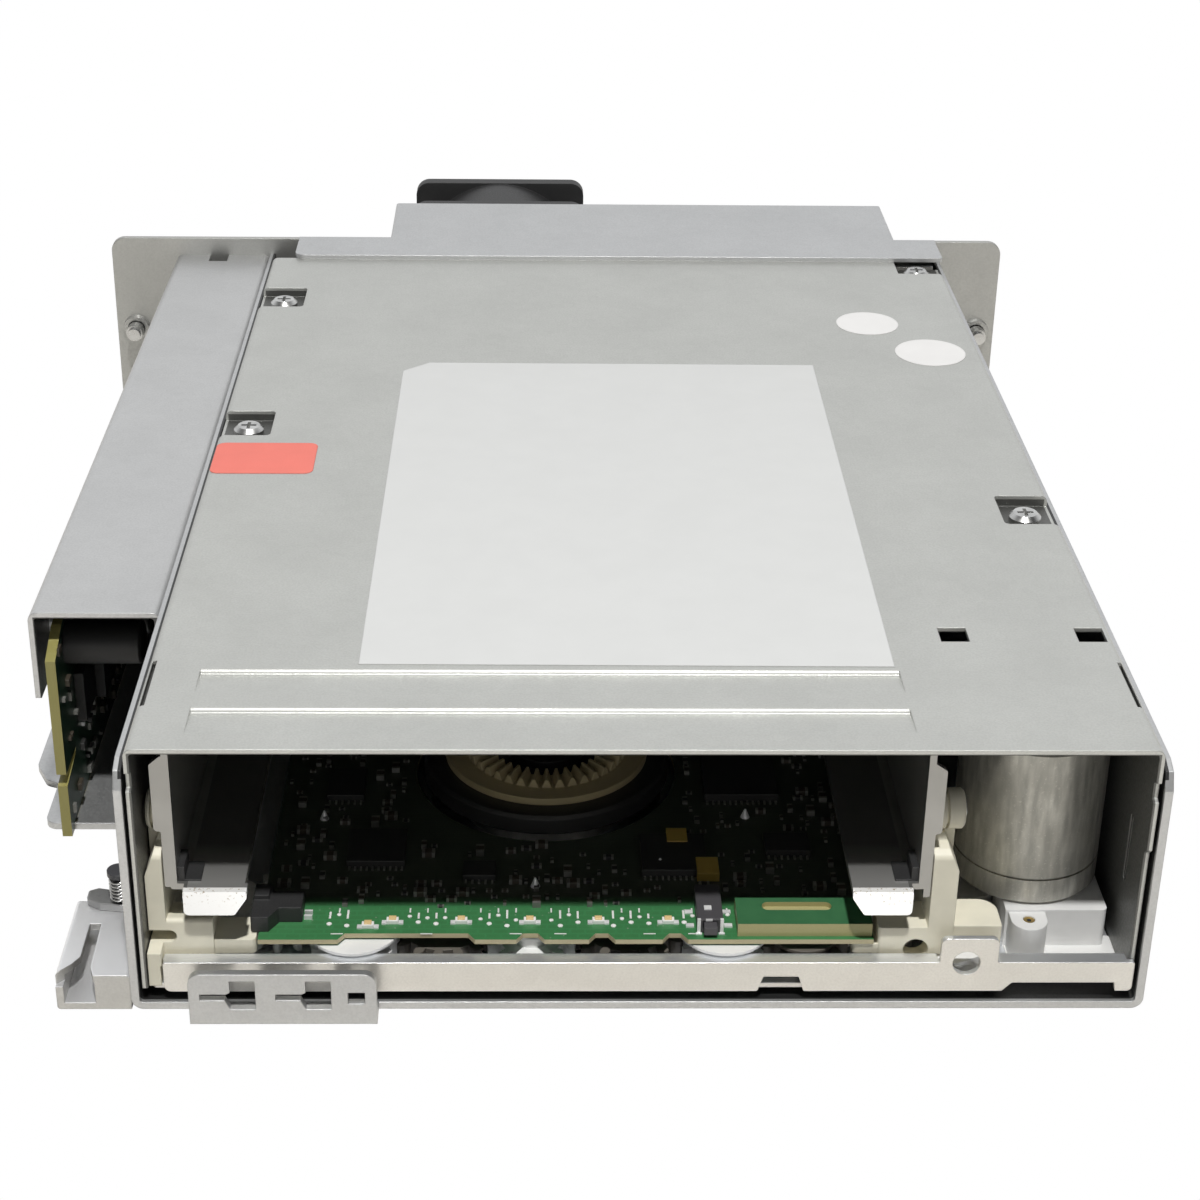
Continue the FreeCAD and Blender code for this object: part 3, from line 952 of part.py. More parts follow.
# ================================================================ write every node
def nodes():
    made = {
        "tray": tray(), "tray_screws": tray_screws(), "side_channel": side_channel(),
        "side_board": side_board(),
        "side_board_parts": side_board_parts(), "board_spacers": board_spacers(),
        "dock_bracket": dock_bracket(),
        "dock_latch": dock_latch(), "latch_pin": latch_pin(), "latch_spring": latch_spring(),
        "rear_plate": rear_plate(), "rear_housing": rear_housing(), "rear_sockets": rear_sockets(),
        "thumbscrew_left": thumbscrew(THUMB_X[0]), "thumbscrew_right": thumbscrew(THUMB_X[1]),
        "fan_frame": fan_frame(), "fan_rotor": fan_rotor(),
        "base_frame": base_frame(), "top_cover": top_cover(), "cover_screws": cover_screws(),
        "main_board": main_board(), "board_chips": board_chips(), "memory_antenna": memory_antenna(),
        "cartridge_sensor": cartridge_sensor(), "eject_switch": eject_switch(),
        "eject_button": eject_button(),
        "load_motor": load_motor(), "gearbox_housing": gearbox_housing(), "gear_pins": gear_pins(),
        "drive_pinion": gear_solid(drive_pinion_layout()),
        "left_slider": left_slider(), "right_slider": right_slider(),
        "left_guide": left_guide(), "right_guide": right_guide(),
        "cartridge_carriage": cartridge_carriage(), "rail_pads": rail_pads(),
        "reel_motor": reel_motor(), "reel_rotor": reel_rotor(), "clutch_ring": clutch_ring(),
        "takeup_motor": takeup_motor(), "takeup_reel": takeup_reel(), "tape_deck": tape_deck(),
        "head_actuator": head_actuator(), "head_block": head_block(),
    }
    for gear in gear_layout():
        made[gear["name"]] = gear_solid(gear)
    for place, y in zip(("front", "rear"), ROLLER_Y):
        made["left_roller_" + place] = carriage_roller(-71.8, -69.0, -71.1, y)
        made["right_roller_" + place] = carriage_roller(43.0, 47.2, 44.4, y)
    for i, (x, y) in enumerate(TAPE_ROLLERS):
        made["guide_roller_%d" % (i + 1)] = guide_roller(x, y)
    return made


os.makedirs("parts", exist_ok=True)
for node, shape in nodes().items():
    shape.exportStep("parts/%s.step" % node)
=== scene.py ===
import bpy
import math
import random
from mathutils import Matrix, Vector


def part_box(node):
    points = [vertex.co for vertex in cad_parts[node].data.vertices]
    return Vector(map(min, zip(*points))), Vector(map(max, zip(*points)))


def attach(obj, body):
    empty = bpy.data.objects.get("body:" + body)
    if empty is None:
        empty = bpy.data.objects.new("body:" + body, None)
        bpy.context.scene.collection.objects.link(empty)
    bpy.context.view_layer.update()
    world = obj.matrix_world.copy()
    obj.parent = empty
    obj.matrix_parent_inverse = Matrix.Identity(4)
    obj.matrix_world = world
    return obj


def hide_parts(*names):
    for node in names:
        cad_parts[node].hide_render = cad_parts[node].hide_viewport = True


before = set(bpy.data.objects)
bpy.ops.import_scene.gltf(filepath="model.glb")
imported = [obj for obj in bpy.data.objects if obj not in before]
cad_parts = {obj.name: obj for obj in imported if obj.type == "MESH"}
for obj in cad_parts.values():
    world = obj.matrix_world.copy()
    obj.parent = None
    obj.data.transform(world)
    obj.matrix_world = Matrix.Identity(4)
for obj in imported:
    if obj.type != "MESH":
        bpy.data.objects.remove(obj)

# Lengths are millimetres here and become metres where they are given to Blender.
MM = 0.001
X, Y, Z = 0, 1, 2

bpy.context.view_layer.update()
random.seed(7)
scene = bpy.context.scene


def reach(node):
    """Lowest and highest corner of a CAD node at rest."""
    return [[round(c / MM, 3) for c in corner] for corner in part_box(node)]


BOARD_TOP = reach("main_board")[1][Z]
COVER_TOP = reach("top_cover")[1][Z]
SIDE_BOARD_FACE = reach("side_board")[1][X]


# ---------------------------------------------------------------- node helpers
class Shader:
    """A procedural material in the making."""

    def __init__(self, name, roughness=0.5, metal=0.0):
        self.material = bpy.data.materials.new(name)
        self.material.use_nodes = True
        self.tree = self.material.node_tree
        self.surface = self.tree.nodes["Principled BSDF"]
        self.surface.inputs["Roughness"].default_value = roughness
        self.surface.inputs["Metallic"].default_value = metal
        self.place = self.node("ShaderNodeTexCoord")

    def node(self, kind, **settings):
        made = self.tree.nodes.new(kind)
        for key, value in settings.items():
            setattr(made, key, value)
        return made

    def join(self, source, target):
        self.tree.links.new(source, target)

    def stretched(self, stretch):
        """Object coordinates, each axis multiplied by its stretch."""
        mapping = self.node("ShaderNodeMapping")
        mapping.inputs["Scale"].default_value = stretch
        self.join(self.place.outputs["Object"], mapping.inputs["Vector"])
        return mapping.outputs["Vector"]

    def noise(self, size, detail=3.0, stretch=(1, 1, 1)):
        """Clouds about as large as size."""
        texture = self.node("ShaderNodeTexNoise")
        texture.inputs["Scale"].default_value = 1.0 / (size * MM)
        texture.inputs["Detail"].default_value = detail
        self.join(self.stretched(stretch), texture.inputs["Vector"])
        return texture.outputs["Fac"]

    def cells(self, size, output="Color"):
        """Cells about as large as size: a colour for each, or the distance from its middle."""
        texture = self.node("ShaderNodeTexVoronoi")
        texture.inputs["Scale"].default_value = 1.0 / (size * MM)
        self.join(self.place.outputs["Object"], texture.inputs["Vector"])
        return texture.outputs[output]

    def red_of(self, colour):
        split = self.node("ShaderNodeSeparateColor")
        self.join(colour, split.inputs[0])
        return split.outputs[0]

    def span(self, value, low, high, to_low=0.0, to_high=1.0):
        """Low to high spread over to_low to to_high, held at the ends."""
        spread = self.node("ShaderNodeMapRange")
        for key, number in (("From Min", low), ("From Max", high), ("To Min", to_low), ("To Max", to_high)):
            spread.inputs[key].default_value = number
        self.join(value, spread.inputs["Value"])
        return spread.outputs["Result"]

    def math(self, operation, a, b=None):
        made = self.node("ShaderNodeMath", operation=operation)
        for socket, value in zip(made.inputs, (a, b)):
            if value is None:
                continue
            if isinstance(value, (int, float)):
                socket.default_value = value
            else:
                self.join(value, socket)
        return made.outputs["Value"]

    def blend(self, amount, a, b):
        """Colour a at amount 0, colour b at amount 1."""
        made = self.node("ShaderNodeMix", data_type="RGBA")
        for socket, value in ((made.inputs[0], amount), (made.inputs[6], a), (made.inputs[7], b)):
            if isinstance(value, tuple):
                socket.default_value = value + (1.0,)
            else:
                self.join(value, socket)
        return made.outputs[2]

    def colour(self, value):
        self.join(value, self.surface.inputs["Base Color"])

    def roughness(self, value):
        self.join(value, self.surface.inputs["Roughness"])

    def bump(self, height, depth, strength=1.0, rim=0.0):
        """Fine relief; a rim rounds the light on edges over that many millimetres."""
        made = self.node("ShaderNodeBump")
        made.inputs["Distance"].default_value = depth * MM
        made.inputs["Strength"].default_value = strength
        self.join(height, made.inputs["Height"])
        if rim:
            soft = self.node("ShaderNodeBevel", samples=6)
            soft.inputs["Radius"].default_value = rim * MM
            self.join(soft.outputs["Normal"], made.inputs["Normal"])
        self.join(made.outputs["Normal"], self.surface.inputs["Normal"])
        return self

    def facing(self, axis):
        """How far a face's own normal lies along an axis: 0 across it, 1 along it."""
        split = self.node("ShaderNodeSeparateXYZ")
        self.join(self.place.outputs["Normal"], split.inputs[0])
        return self.math("ABSOLUTE", split.outputs[axis])

    def along(self, axis):
        """Place on an axis, in metres."""
        split = self.node("ShaderNodeSeparateXYZ")
        self.join(self.place.outputs["Object"], split.inputs[0])
        return split.outputs[axis]

    def darkened(self, tone, region, share):
        """Tone times share inside a region of X, Y and Z limits, where None leaves a side open."""
        inside = 1.0
        for axis, limits in enumerate(region):
            for operation, limit in zip(("GREATER_THAN", "LESS_THAN"), limits):
                if limit is not None:
                    here = self.math(operation, self.along(axis), limit * MM)
                    inside = self.math("MULTIPLY", here, inside)
        dark = self.node("ShaderNodeMix", data_type="RGBA", blend_type="MULTIPLY")
        dark.inputs[7].default_value = (share, share, share, 1.0)
        self.join(inside, dark.inputs[0])
        self.join(tone, dark.inputs[6])
        return dark.outputs[2]


def scaled(colour, k):
    return tuple(min(1.0, c * k) for c in colour)


# ---------------------------------------------------------------- kinds of material
def sheet_metal(name, colour, roughness=0.42, metal=0.8, painted_shade=None, painted_level_light=None):
    """Zinc-coated sheet: soft clouds, fine grain and a few rubbed places.

    A painted-shade region and share cut the tone there to that share: painted shade for the unlit inside.
    Where given, a brighter colour is painted on the faces that look up or down: a painted highlight for the
    light they catch.
    """
    s = Shader(name, roughness, metal)
    clouds = s.noise(14, 4)
    fine = s.noise(0.35, 2)
    flecks = s.cells(1.6)
    tone = s.blend(s.span(clouds, 0.3, 0.7), scaled(colour, 0.96), scaled(colour, 1.04))
    tone = s.blend(s.span(fine, 0.35, 0.65, 0.0, 0.35), tone, scaled(colour, 0.86))
    tone = s.blend(s.span(s.red_of(flecks), 0.0, 1.0, 0.0, 0.10), tone, scaled(colour, 1.25))
    if painted_level_light:
        # Painted highlight: faces that look up or down take the brighter colour given for them.
        tone = s.blend(s.span(s.facing(Z), 0.4, 0.6), tone, painted_level_light)
    # Painted shade: inside the given region the tone is cut to a share.
    s.colour(s.darkened(tone, *painted_shade) if painted_shade else tone)
    s.roughness(s.span(fine, 0.3, 0.7, roughness - 0.07, roughness + 0.09))
    return s.bump(fine, 0.012, 0.6, rim=0.3).material


def turned_metal(name, colour, roughness=0.3, metal=1.0):
    """Bare or tinned metal with uneven wear and fine grooves around Z."""
    s = Shader(name, roughness, metal)
    wear = s.noise(2.5, 5)
    s.colour(s.blend(s.span(wear, 0.35, 0.7), scaled(colour, 0.82), scaled(colour, 1.12)))
    s.roughness(s.span(wear, 0.3, 0.7, roughness - 0.08, roughness + 0.12))
    return s.bump(s.noise(0.25, 2, (1, 1, 6)), 0.01, 0.5).material


def plastic(name, colour, roughness=0.45, grain=0.3, depth=0.012, shift=0.06):
    """Moulded or painted surface: grain and depth shape its texture, shift its uneven tone."""
    s = Shader(name, roughness, 0.0)
    clouds = s.noise(6, 3)
    fine = s.noise(grain, 2)
    s.colour(s.blend(s.span(clouds, 0.3, 0.7), scaled(colour, 1 - shift), scaled(colour, 1 + shift)))
    s.roughness(s.span(fine, 0.3, 0.7, roughness - 0.06, roughness + 0.08))
    return s.bump(fine, depth, 0.6, rim=0.25).material


def paper(name, colour, roughness=0.55, shift=0.012):
    return plastic(name, colour, roughness, grain=0.25, depth=0.006, shift=shift)


def circuit_board(name, mask, painted_shade_colour, edge, track, thin=Z):
    """Solder mask with faint tracks and vias on the faces across the thin axis, and bare laminate
    at the edges. Past the lit front strip the mask turns to a darker colour: painted shade for the shade
    under the cover."""
    lit_to, board_painted_shade_from = 11.4 * MM, 14 * MM
    s = Shader(name, 0.3, 0.0)
    tracks = s.node("ShaderNodeTexBrick")
    tracks.inputs["Scale"].default_value = 220.0
    tracks.inputs["Mortar Size"].default_value = 0.035
    tracks.inputs["Color1"].default_value = (0, 0, 0, 1)
    tracks.inputs["Color2"].default_value = (0.35, 0.35, 0.35, 1)
    tracks.inputs["Mortar"].default_value = (1, 1, 1, 1)
    s.join(s.place.outputs["Object"], tracks.inputs["Vector"])
    line = s.red_of(tracks.outputs["Color"])
    tone = s.blend(s.math("MULTIPLY", line, 0.5), mask, track)
    via = s.span(s.cells(1.7, "Distance"), 0.05, 0.09, 1.0, 0.0)
    tone = s.blend(s.math("MULTIPLY", via, 0.6), tone, (0.42, 0.44, 0.38))
    # Painted shade: past the lit front strip the mask fades to the darker painted-shade colour.
    tone = s.blend(s.span(s.along(Y), lit_to, board_painted_shade_from, 0.0, 0.94), tone, painted_shade_colour)
    weave = s.blend(s.noise(0.2, 1, (1, 1, 8)), edge, scaled(edge, 0.7))
    s.colour(s.blend(s.span(s.facing(thin), 0.4, 0.6), weave, tone))
    return s.bump(line, 0.02, 0.5).material


def motor_skin():
    """Drawn can: mottled streaks that run up it."""
    s = Shader("motor_can", 0.5, 0.6)
    streaks = s.noise(1.2, 4, (1, 1, 0.2))
    blotches = s.noise(5, 3)
    tone = s.blend(s.span(streaks, 0.35, 0.65), (0.38, 0.375, 0.345), (0.62, 0.61, 0.56))
    tone = s.blend(s.span(blotches, 0.35, 0.65, 0.0, 0.5), tone, (0.44, 0.43, 0.39))
    specks = s.span(s.noise(0.35, 2), 0.62, 0.70)
    s.colour(s.blend(s.math("MULTIPLY", specks, 0.35), tone, (0.78, 0.76, 0.70)))
    s.roughness(s.span(blotches, 0.3, 0.7, 0.38, 0.58))
    return s.bump(streaks, 0.03, 0.5).material


def carriage_skin():
    """Dull sheet, with a painted highlight at the shelves' fronts and painted shade further in.

    The lead-in lips are painted near white as a painted highlight, with a few brown scuffs; their
    normals lean up, as on the real rolled lips, which are rounder than the flat ones of the frame.
    """
    lip_back = 2.6 * MM
    inner_left, inner_right = -65.9 * MM, 39.1 * MM
    painted_light_to, shelf_painted_shade_from = 4 * MM, 14 * MM
    scuffs_from, scuffs_full = 16.6 * MM, 18.6 * MM
    s = Shader("carriage_sheet", 0.30, 0.9)
    outer = s.blend(s.span(s.noise(9, 3), 0.3, 0.7), (0.37, 0.365, 0.35), (0.43, 0.425, 0.41))
    # Painted highlight at the shelves' fronts, fading into painted shade further in.
    far = s.span(s.along(Y), painted_light_to, shelf_painted_shade_from)
    inner = s.blend(far, (0.85, 0.84, 0.82), (0.26, 0.258, 0.25))
    right_of = s.math("GREATER_THAN", s.along(X), inner_left)
    left_of = s.math("LESS_THAN", s.along(X), inner_right)
    tone = s.blend(s.math("MULTIPLY", right_of, left_of), outer, inner)
    lip = s.math("LESS_THAN", s.along(Y), lip_back)
    scuffs = s.span(s.noise(0.5, 4), 0.59, 0.68, 0.0, 0.9)
    high = s.span(s.along(Z), scuffs_from, scuffs_full)
    # Painted highlight: the lips are near white, with brown scuffs towards their top.
    pale = s.blend(s.math("MULTIPLY", scuffs, high), (0.95, 0.943, 0.925), (0.38, 0.30, 0.20))
    s.colour(s.blend(lip, tone, pale))
    s.join(s.span(lip, 0, 1, 0.8, 0.1), s.surface.inputs["Metallic"])
    true_normal = s.node("ShaderNodeNewGeometry")
    upward = s.node("ShaderNodeCombineXYZ")
    s.join(s.math("MULTIPLY", lip, 1.15), upward.inputs["Z"])
    tilted = s.node("ShaderNodeVectorMath", operation="ADD")
    s.join(true_normal.outputs["Normal"], tilted.inputs[0])
    s.join(upward.outputs["Vector"], tilted.inputs[1])
    unit = s.node("ShaderNodeVectorMath", operation="NORMALIZE")
    s.join(tilted.outputs["Vector"], unit.inputs[0])
    relief = s.node("ShaderNodeBump")
    relief.inputs["Distance"].default_value = 0.003 * MM
    s.join(s.noise(0.35, 2), relief.inputs["Height"])
    s.join(unit.outputs["Vector"], relief.inputs["Normal"])
    s.join(relief.outputs["Normal"], s.surface.inputs["Normal"])
    return s.material


def antenna_skin():
    """Thick laminate block: green mask on top, bare edges and a bare slot."""
    mask_from = 11.6 * MM
    s = Shader("antenna_block", 0.4, 0.0)
    mask = s.blend(s.span(s.noise(3, 2), 0.4, 0.6), (0.044, 0.155, 0.066), (0.050, 0.17, 0.072))
    layers = s.blend(s.noise(0.25, 2, (1, 1, 5)), (0.50, 0.46, 0.23), (0.40, 0.37, 0.17))
    up = s.span(s.facing(Z), 0.4, 0.6)
    high = s.math("GREATER_THAN", s.along(Z), mask_from)
    s.colour(s.blend(s.math("MULTIPLY", up, high), layers, mask))
    return s.bump(s.noise(0.3, 2), 0.01, 0.4).material


# ---------------------------------------------------------------- materials
ANYWHERE = (None, None)
# Regions of painted shade: inside them the sheet's tone is cut to a share, standing in for the shade of the
# inner faces.
INSIDE_COVER = ((-72.5, 72.5), ANYWHERE, (None, 43.75))
INSIDE_TRAY = ((-74, 74), (0.2, None), (0.6, 42))
INSIDE_CHANNEL = ((-94.8, -60), ANYWHERE, (None, 40.2))

COVER = sheet_metal("cover_sheet", (0.60, 0.605, 0.58), 0.46, 0.75, painted_shade=(INSIDE_COVER, 0.28))
SLED = sheet_metal("sled_sheet", (0.60, 0.605, 0.61))
TRAY = sheet_metal("tray_sheet", (0.60, 0.605, 0.61), painted_shade=(INSIDE_TRAY, 0.12))
CHANNEL = sheet_metal("channel_sheet", (0.62, 0.622, 0.622), painted_shade=(INSIDE_CHANNEL, 0.2))
PLATE = sheet_metal("plate_sheet", (0.52, 0.52, 0.50), metal=0.75)
# Painted highlight: the upward and downward faces of the front bar and the dock bracket are brighter than
# their upright ones.
RAIL = sheet_metal("rail_sheet", (0.82, 0.80, 0.76), 0.36, painted_level_light=(0.93, 0.95, 0.98))
DOCK = sheet_metal("dock_sheet", (0.58, 0.575, 0.56), painted_level_light=(0.93, 0.93, 0.94))
LATCH = sheet_metal("latch_sheet", (0.45, 0.45, 0.45), 0.35, 0.85)
CARRIAGE = carriage_skin()
MOTOR = motor_skin()
BRIGHT = turned_metal("bright_steel", (0.66, 0.66, 0.65), 0.28)
SPRING = turned_metal("spring_steel", (0.5, 0.5, 0.49), 0.22)
ALLOY = turned_metal("machined_alloy", (0.62, 0.62, 0.62), 0.35)
DULL = turned_metal("dull_solder", (0.27, 0.27, 0.25), 0.4, 0.4)
SOLDER = turned_metal("solder", (0.92, 0.92, 0.92), 0.36, 0.2)
GOLD = turned_metal("gold_contact", (0.75, 0.55, 0.22), 0.3)

CREAM = plastic("cream_plastic", (0.90, 0.86, 0.71), 0.42)
WHITE = plastic("white_plastic", (0.90, 0.90, 0.89), 0.4)
BLACK = plastic("black_plastic", (0.030, 0.030, 0.031), 0.5)
DARK = plastic("dark_plastic", (0.05, 0.05, 0.055), 0.35)
SWITCH = plastic("switch_body", (0.075, 0.072, 0.078), 0.5, grain=0.15)
PALE = plastic("pale_gearbox", (0.85, 0.85, 0.845), 0.5)
RING = plastic("clutch_plastic", (0.42, 0.35, 0.20), 0.42)
ROTOR = plastic("rotor_plastic", (0.022, 0.022, 0.022), 0.4)
GEAR_DARK = plastic("dark_gear", (0.15, 0.135, 0.115), 0.4)
CERAMIC = plastic("head_ceramic", (0.16, 0.16, 0.17), 0.2)

CHIP = plastic("chip_package", (0.034, 0.034, 0.033), 0.42, grain=0.15)
# Painted shade: the side board's packages are a darker copy of the chip colour, for the shade in the side
# channel.
SHADED_SIDE_PARTS = plastic("side_board_packages_painted_shade", (0.010, 0.010, 0.010), 0.5, grain=0.15)
CAPACITOR = plastic("ceramic_capacitor", (0.060, 0.050, 0.037), 0.4, grain=0.1)
TANTALUM = plastic("tantalum_capacitor", (0.46, 0.32, 0.07), 0.45, grain=0.1)
LED = plastic("led_lens", (0.85, 0.62, 0.30), 0.25, grain=0.2)
SILK = plastic("silk_white", (0.96, 0.96, 0.93), 0.6, grain=0.2)
BOARD = circuit_board("main_board_mask", mask=(0.052, 0.20, 0.072), painted_shade_colour=(0.054, 0.054, 0.045),
                      edge=(0.62, 0.55, 0.34), track=(0.06, 0.26, 0.10))
# Painted shade: the side board's mask, edge and track colours are darker copies of the main board's, for
# the shade in the side channel.
SHADED_SIDE_BOARD = circuit_board("side_board_mask_painted_shade", mask=(0.012, 0.045, 0.024), painted_shade_colour=(0.010, 0.032, 0.018),
                           edge=(0.40, 0.36, 0.12), track=(0.016, 0.06, 0.03), thin=X)
ANTENNA = antenna_skin()

PAPER = paper("label_paper", (0.67, 0.675, 0.67))
PAPER_WHITE = paper("floor_label_paper", (0.80, 0.80, 0.79))
SEAL = paper("white_seal", (0.84, 0.83, 0.82), 0.5, shift=0.02)
RED = paper("red_seal", (0.86, 0.20, 0.155), 0.5, shift=0.03)

LOOKS = {
    COVER: ["top_cover"],
    SLED: ["rear_housing"],
    DOCK: ["dock_bracket"],
    TRAY: ["tray"],
    CHANNEL: ["side_channel"],
    PLATE: ["rear_plate"],
    RAIL: ["base_frame"],
    LATCH: ["dock_latch"],
    CARRIAGE: ["cartridge_carriage"],
    MOTOR: ["load_motor"],
    BRIGHT: ["tray_screws", "cover_screws", "board_spacers", "gear_pins", "thumbscrew_left",
             "thumbscrew_right", "rear_sockets", "head_actuator"],
    SPRING: ["latch_spring"],
    ALLOY: ["reel_motor", "takeup_motor", "tape_deck"] + ["guide_roller_%d" % i for i in range(1, 5)],
    RING: ["clutch_ring"],
    ROTOR: ["reel_rotor"],
    GEAR_DARK: ["load_gear_" + c for c in "ceg"],
    DARK: ["latch_pin", "takeup_reel"],
    BOARD: ["main_board"],
    SHADED_SIDE_BOARD: ["side_board"],
    ANTENNA: ["memory_antenna"],
    CHIP: ["board_chips"],
    SHADED_SIDE_PARTS: ["side_board_parts"],
    BLACK: ["cartridge_sensor", "rail_pads", "fan_frame", "fan_rotor"],
    SWITCH: ["eject_switch", "eject_button"],
    PALE: ["gearbox_housing"],
    CREAM: ["left_guide", "right_guide", "left_roller_front", "left_roller_rear",
            "right_roller_front", "right_roller_rear"],
    WHITE: ["left_slider", "right_slider", "drive_pinion"] + ["load_gear_" + c for c in "abdfh"],
    CERAMIC: ["head_block"],
}


def dress_nodes():
    for material, names in LOOKS.items():
        for name in names:
            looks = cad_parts[name].data.materials
            looks.clear()
            looks.append(material)


# ---------------------------------------------------------------- mesh helpers
def new_mesh(name, verts, faces, materials, body=None, face_slots=None):
    """Object of a mesh given in millimetres, moving with a body if one is named."""
    mesh = bpy.data.meshes.new(name)
    mesh.from_pydata([tuple(c * MM for c in v) for v in verts], [], faces)
    for material in materials:
        mesh.materials.append(material)
    if face_slots:
        for polygon, index in zip(mesh.polygons, face_slots):
            polygon.material_index = index
    mesh.validate()
    obj = bpy.data.objects.new(name, mesh)
    scene.collection.objects.link(obj)
    if body:
        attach(obj, body)
    return obj


BOX_FACES = [(0, 3, 2, 1), (4, 5, 6, 7), (0, 1, 5, 4), (1, 2, 6, 5), (2, 3, 7, 6), (3, 0, 4, 7)]


def box_points(x0, x1, y0, y1, z0, z1):
    return [(x0, y0, z0), (x1, y0, z0), (x1, y1, z0), (x0, y1, z0),
            (x0, y0, z1), (x1, y0, z1), (x1, y1, z1), (x0, y1, z1)]


def boxes(name, items, materials, body):
    """Many boxes in one object; an item is x0, x1, y0, y1, z0, z1, material index."""
    verts, faces, slots = [], [], []
    for *limits, slot in items:
        start = len(verts)
        verts += box_points(*limits)
        faces += [tuple(start + i for i in face) for face in BOX_FACES]
        slots += [slot] * len(BOX_FACES)
    return new_mesh(name, verts, faces, materials, body, slots)


def side_faces(start, n):
    """Faces between two rings of n points that follow each other from start on."""
    return [(start + i, start + (i + 1) % n, start + n + (i + 1) % n, start + n + i) for i in range(n)]


def prism(name, outline, z0, z1, material, body):
    """Upright prism of an X-Y outline that runs counter-clockwise."""
    n = len(outline)
    verts = [(x, y, z0) for x, y in outline] + [(x, y, z1) for x, y in outline]
    faces = [tuple(range(n))[::-1], tuple(range(n, 2 * n))] + side_faces(0, n)
    return new_mesh(name, verts, faces, [material], body)


def studs(name, items, material, body, steps=12):
    """Many low cylinders or cones; an item is x, y, z, height, lower radius, upper radius."""
    verts, faces = [], []
    for x, y, z, h, lower, upper in items:
        start = len(verts)
        verts += [(a, b, z) for a, b in circle(x, y, lower, steps)]
        verts += [(a, b, z + h) for a, b in circle(x, y, upper, steps)]
        faces.append(tuple(range(start, start + steps))[::-1])
        faces.append(tuple(range(start + steps, start + 2 * steps)))
        faces += side_faces(start, steps)
    return new_mesh(name, verts, faces, [material], body)


def circle(x, y, r, steps=48):
    turns = [2 * math.pi * i / steps for i in range(steps)]
    return [(x + r * math.cos(t), y + r * math.sin(t)) for t in turns]


def rounded(x0, x1, y0, y1, r, steps=6):
    """Outline of a rectangle with round corners."""
    points = []
    corners = ((x1 - r, y0 + r, -90), (x1 - r, y1 - r, 0), (x0 + r, y1 - r, 90), (x0 + r, y0 + r, 180))
    for cx, cy, first in corners:
        for i in range(steps + 1):
            t = math.radians(first + 90 * i / steps)
            points.append((cx + r * math.cos(t), cy + r * math.sin(t)))
    return points


def wire(name, points, radius, material, body):
    """Round wire through points, with closed ends."""
    curve = bpy.data.curves.new(name, "CURVE")
    curve.dimensions = "3D"
    curve.bevel_depth = radius * MM
    curve.bevel_resolution = 3
    curve.use_fill_caps = True
    spline = curve.splines.new("POLY")
    spline.points.add(len(points) - 1)
    for knot, point in zip(spline.points, points):
        knot.co = [c * MM for c in point] + [1.0]
    curve.materials.append(material)
    obj = bpy.data.objects.new(name, curve)
    scene.collection.objects.link(obj)
    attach(obj, body)
    return obj


# ---------------------------------------------------------------- labels on the cover
def front_label():
    """Large bare sheet with one cut corner, stuck on slightly askew."""
    left, right, front, back = -41.5, 38.4, 23.7, 142.3
    cut_x, cut_y = 5.0, 4.3
    thickness, turn, shift = 0.08, -0.006, -0.45
    sheet = [(left, front), (right, front), (right, back), (left + cut_x, back), (left, back - cut_y)]
    cos, sin = math.cos(turn), math.sin(turn)
    askew = [(x * cos - y * sin + shift, y * cos + x * sin) for x, y in sheet]
    prism("front_label", askew, COVER_TOP, COVER_TOP + thickness, PAPER, "sled")


def seals():
    """Two bare discs and a bare red sticker."""
    top = COVER_TOP + 0.07
    prism("seal_rear", circle(52.4, 164.8, 6.35), COVER_TOP, top, SEAL, "sled")
    prism("seal_front", circle(62.9, 149.0, 7.0), COVER_TOP, top, SEAL, "sled")
    prism("red_seal_top", rounded(-72.6, -54.5, 91.0, 104.0, 1.6), COVER_TOP, top, RED, "sled")


# ---------------------------------------------------------------- board parts
LAMPS = [(-40.2, 6.2), (-36.6, 7.3), (-26.4, 7.3), (-16.2, 7.3), (-6.0, 7.3), (4.4, 7.3)]
SWITCH_X = 10.4
# Footprints of the frame's board_chips: x, y, width, depth.
CHIPS = [(-40, 26, 9, 9), (-24, 20, 5, 4), (6, 24, 10, 10), (24, 27, 7, 5), (-46, 44, 6, 8),
         (18, 46, 12, 12), (-42, 62, 10, 7), (24, 64, 8, 10), (-30, 84, 14, 14), (-4, 86, 12, 8),
         (18, 86, 14, 10), (-46, 80, 6, 6)]
# Places that small parts leave free: hub, switch, antenna and cartridge sensor.
KEPT_FREE = [(-13.6, 50, 43, 43), (10.4, 9.5, 5, 10), (24.5, 7.2, 21, 8), (-53.6, 9.4, 9, 9)]
TANTALUMS = [(6.8, 28.4, 3.2, 3.6), (11.1, 20.0, 3.4, 4.4)]
# Width, depth, height and material index of the small parts.
PART_SIZES = [(1.6, 0.8, 0.5, 1), (1.0, 0.5, 0.35, 1), (1.0, 0.5, 0.4, 2), (1.6, 0.8, 0.7, 2),
              (2.0, 1.25, 0.9, 2)]


def on_board(x0, x1, y0, y1, height, slot=0, base=0.0):
    """Box that stands on the main board, or base above it."""
    return (x0, x1, y0, y1, BOARD_TOP + base, BOARD_TOP + height, slot)


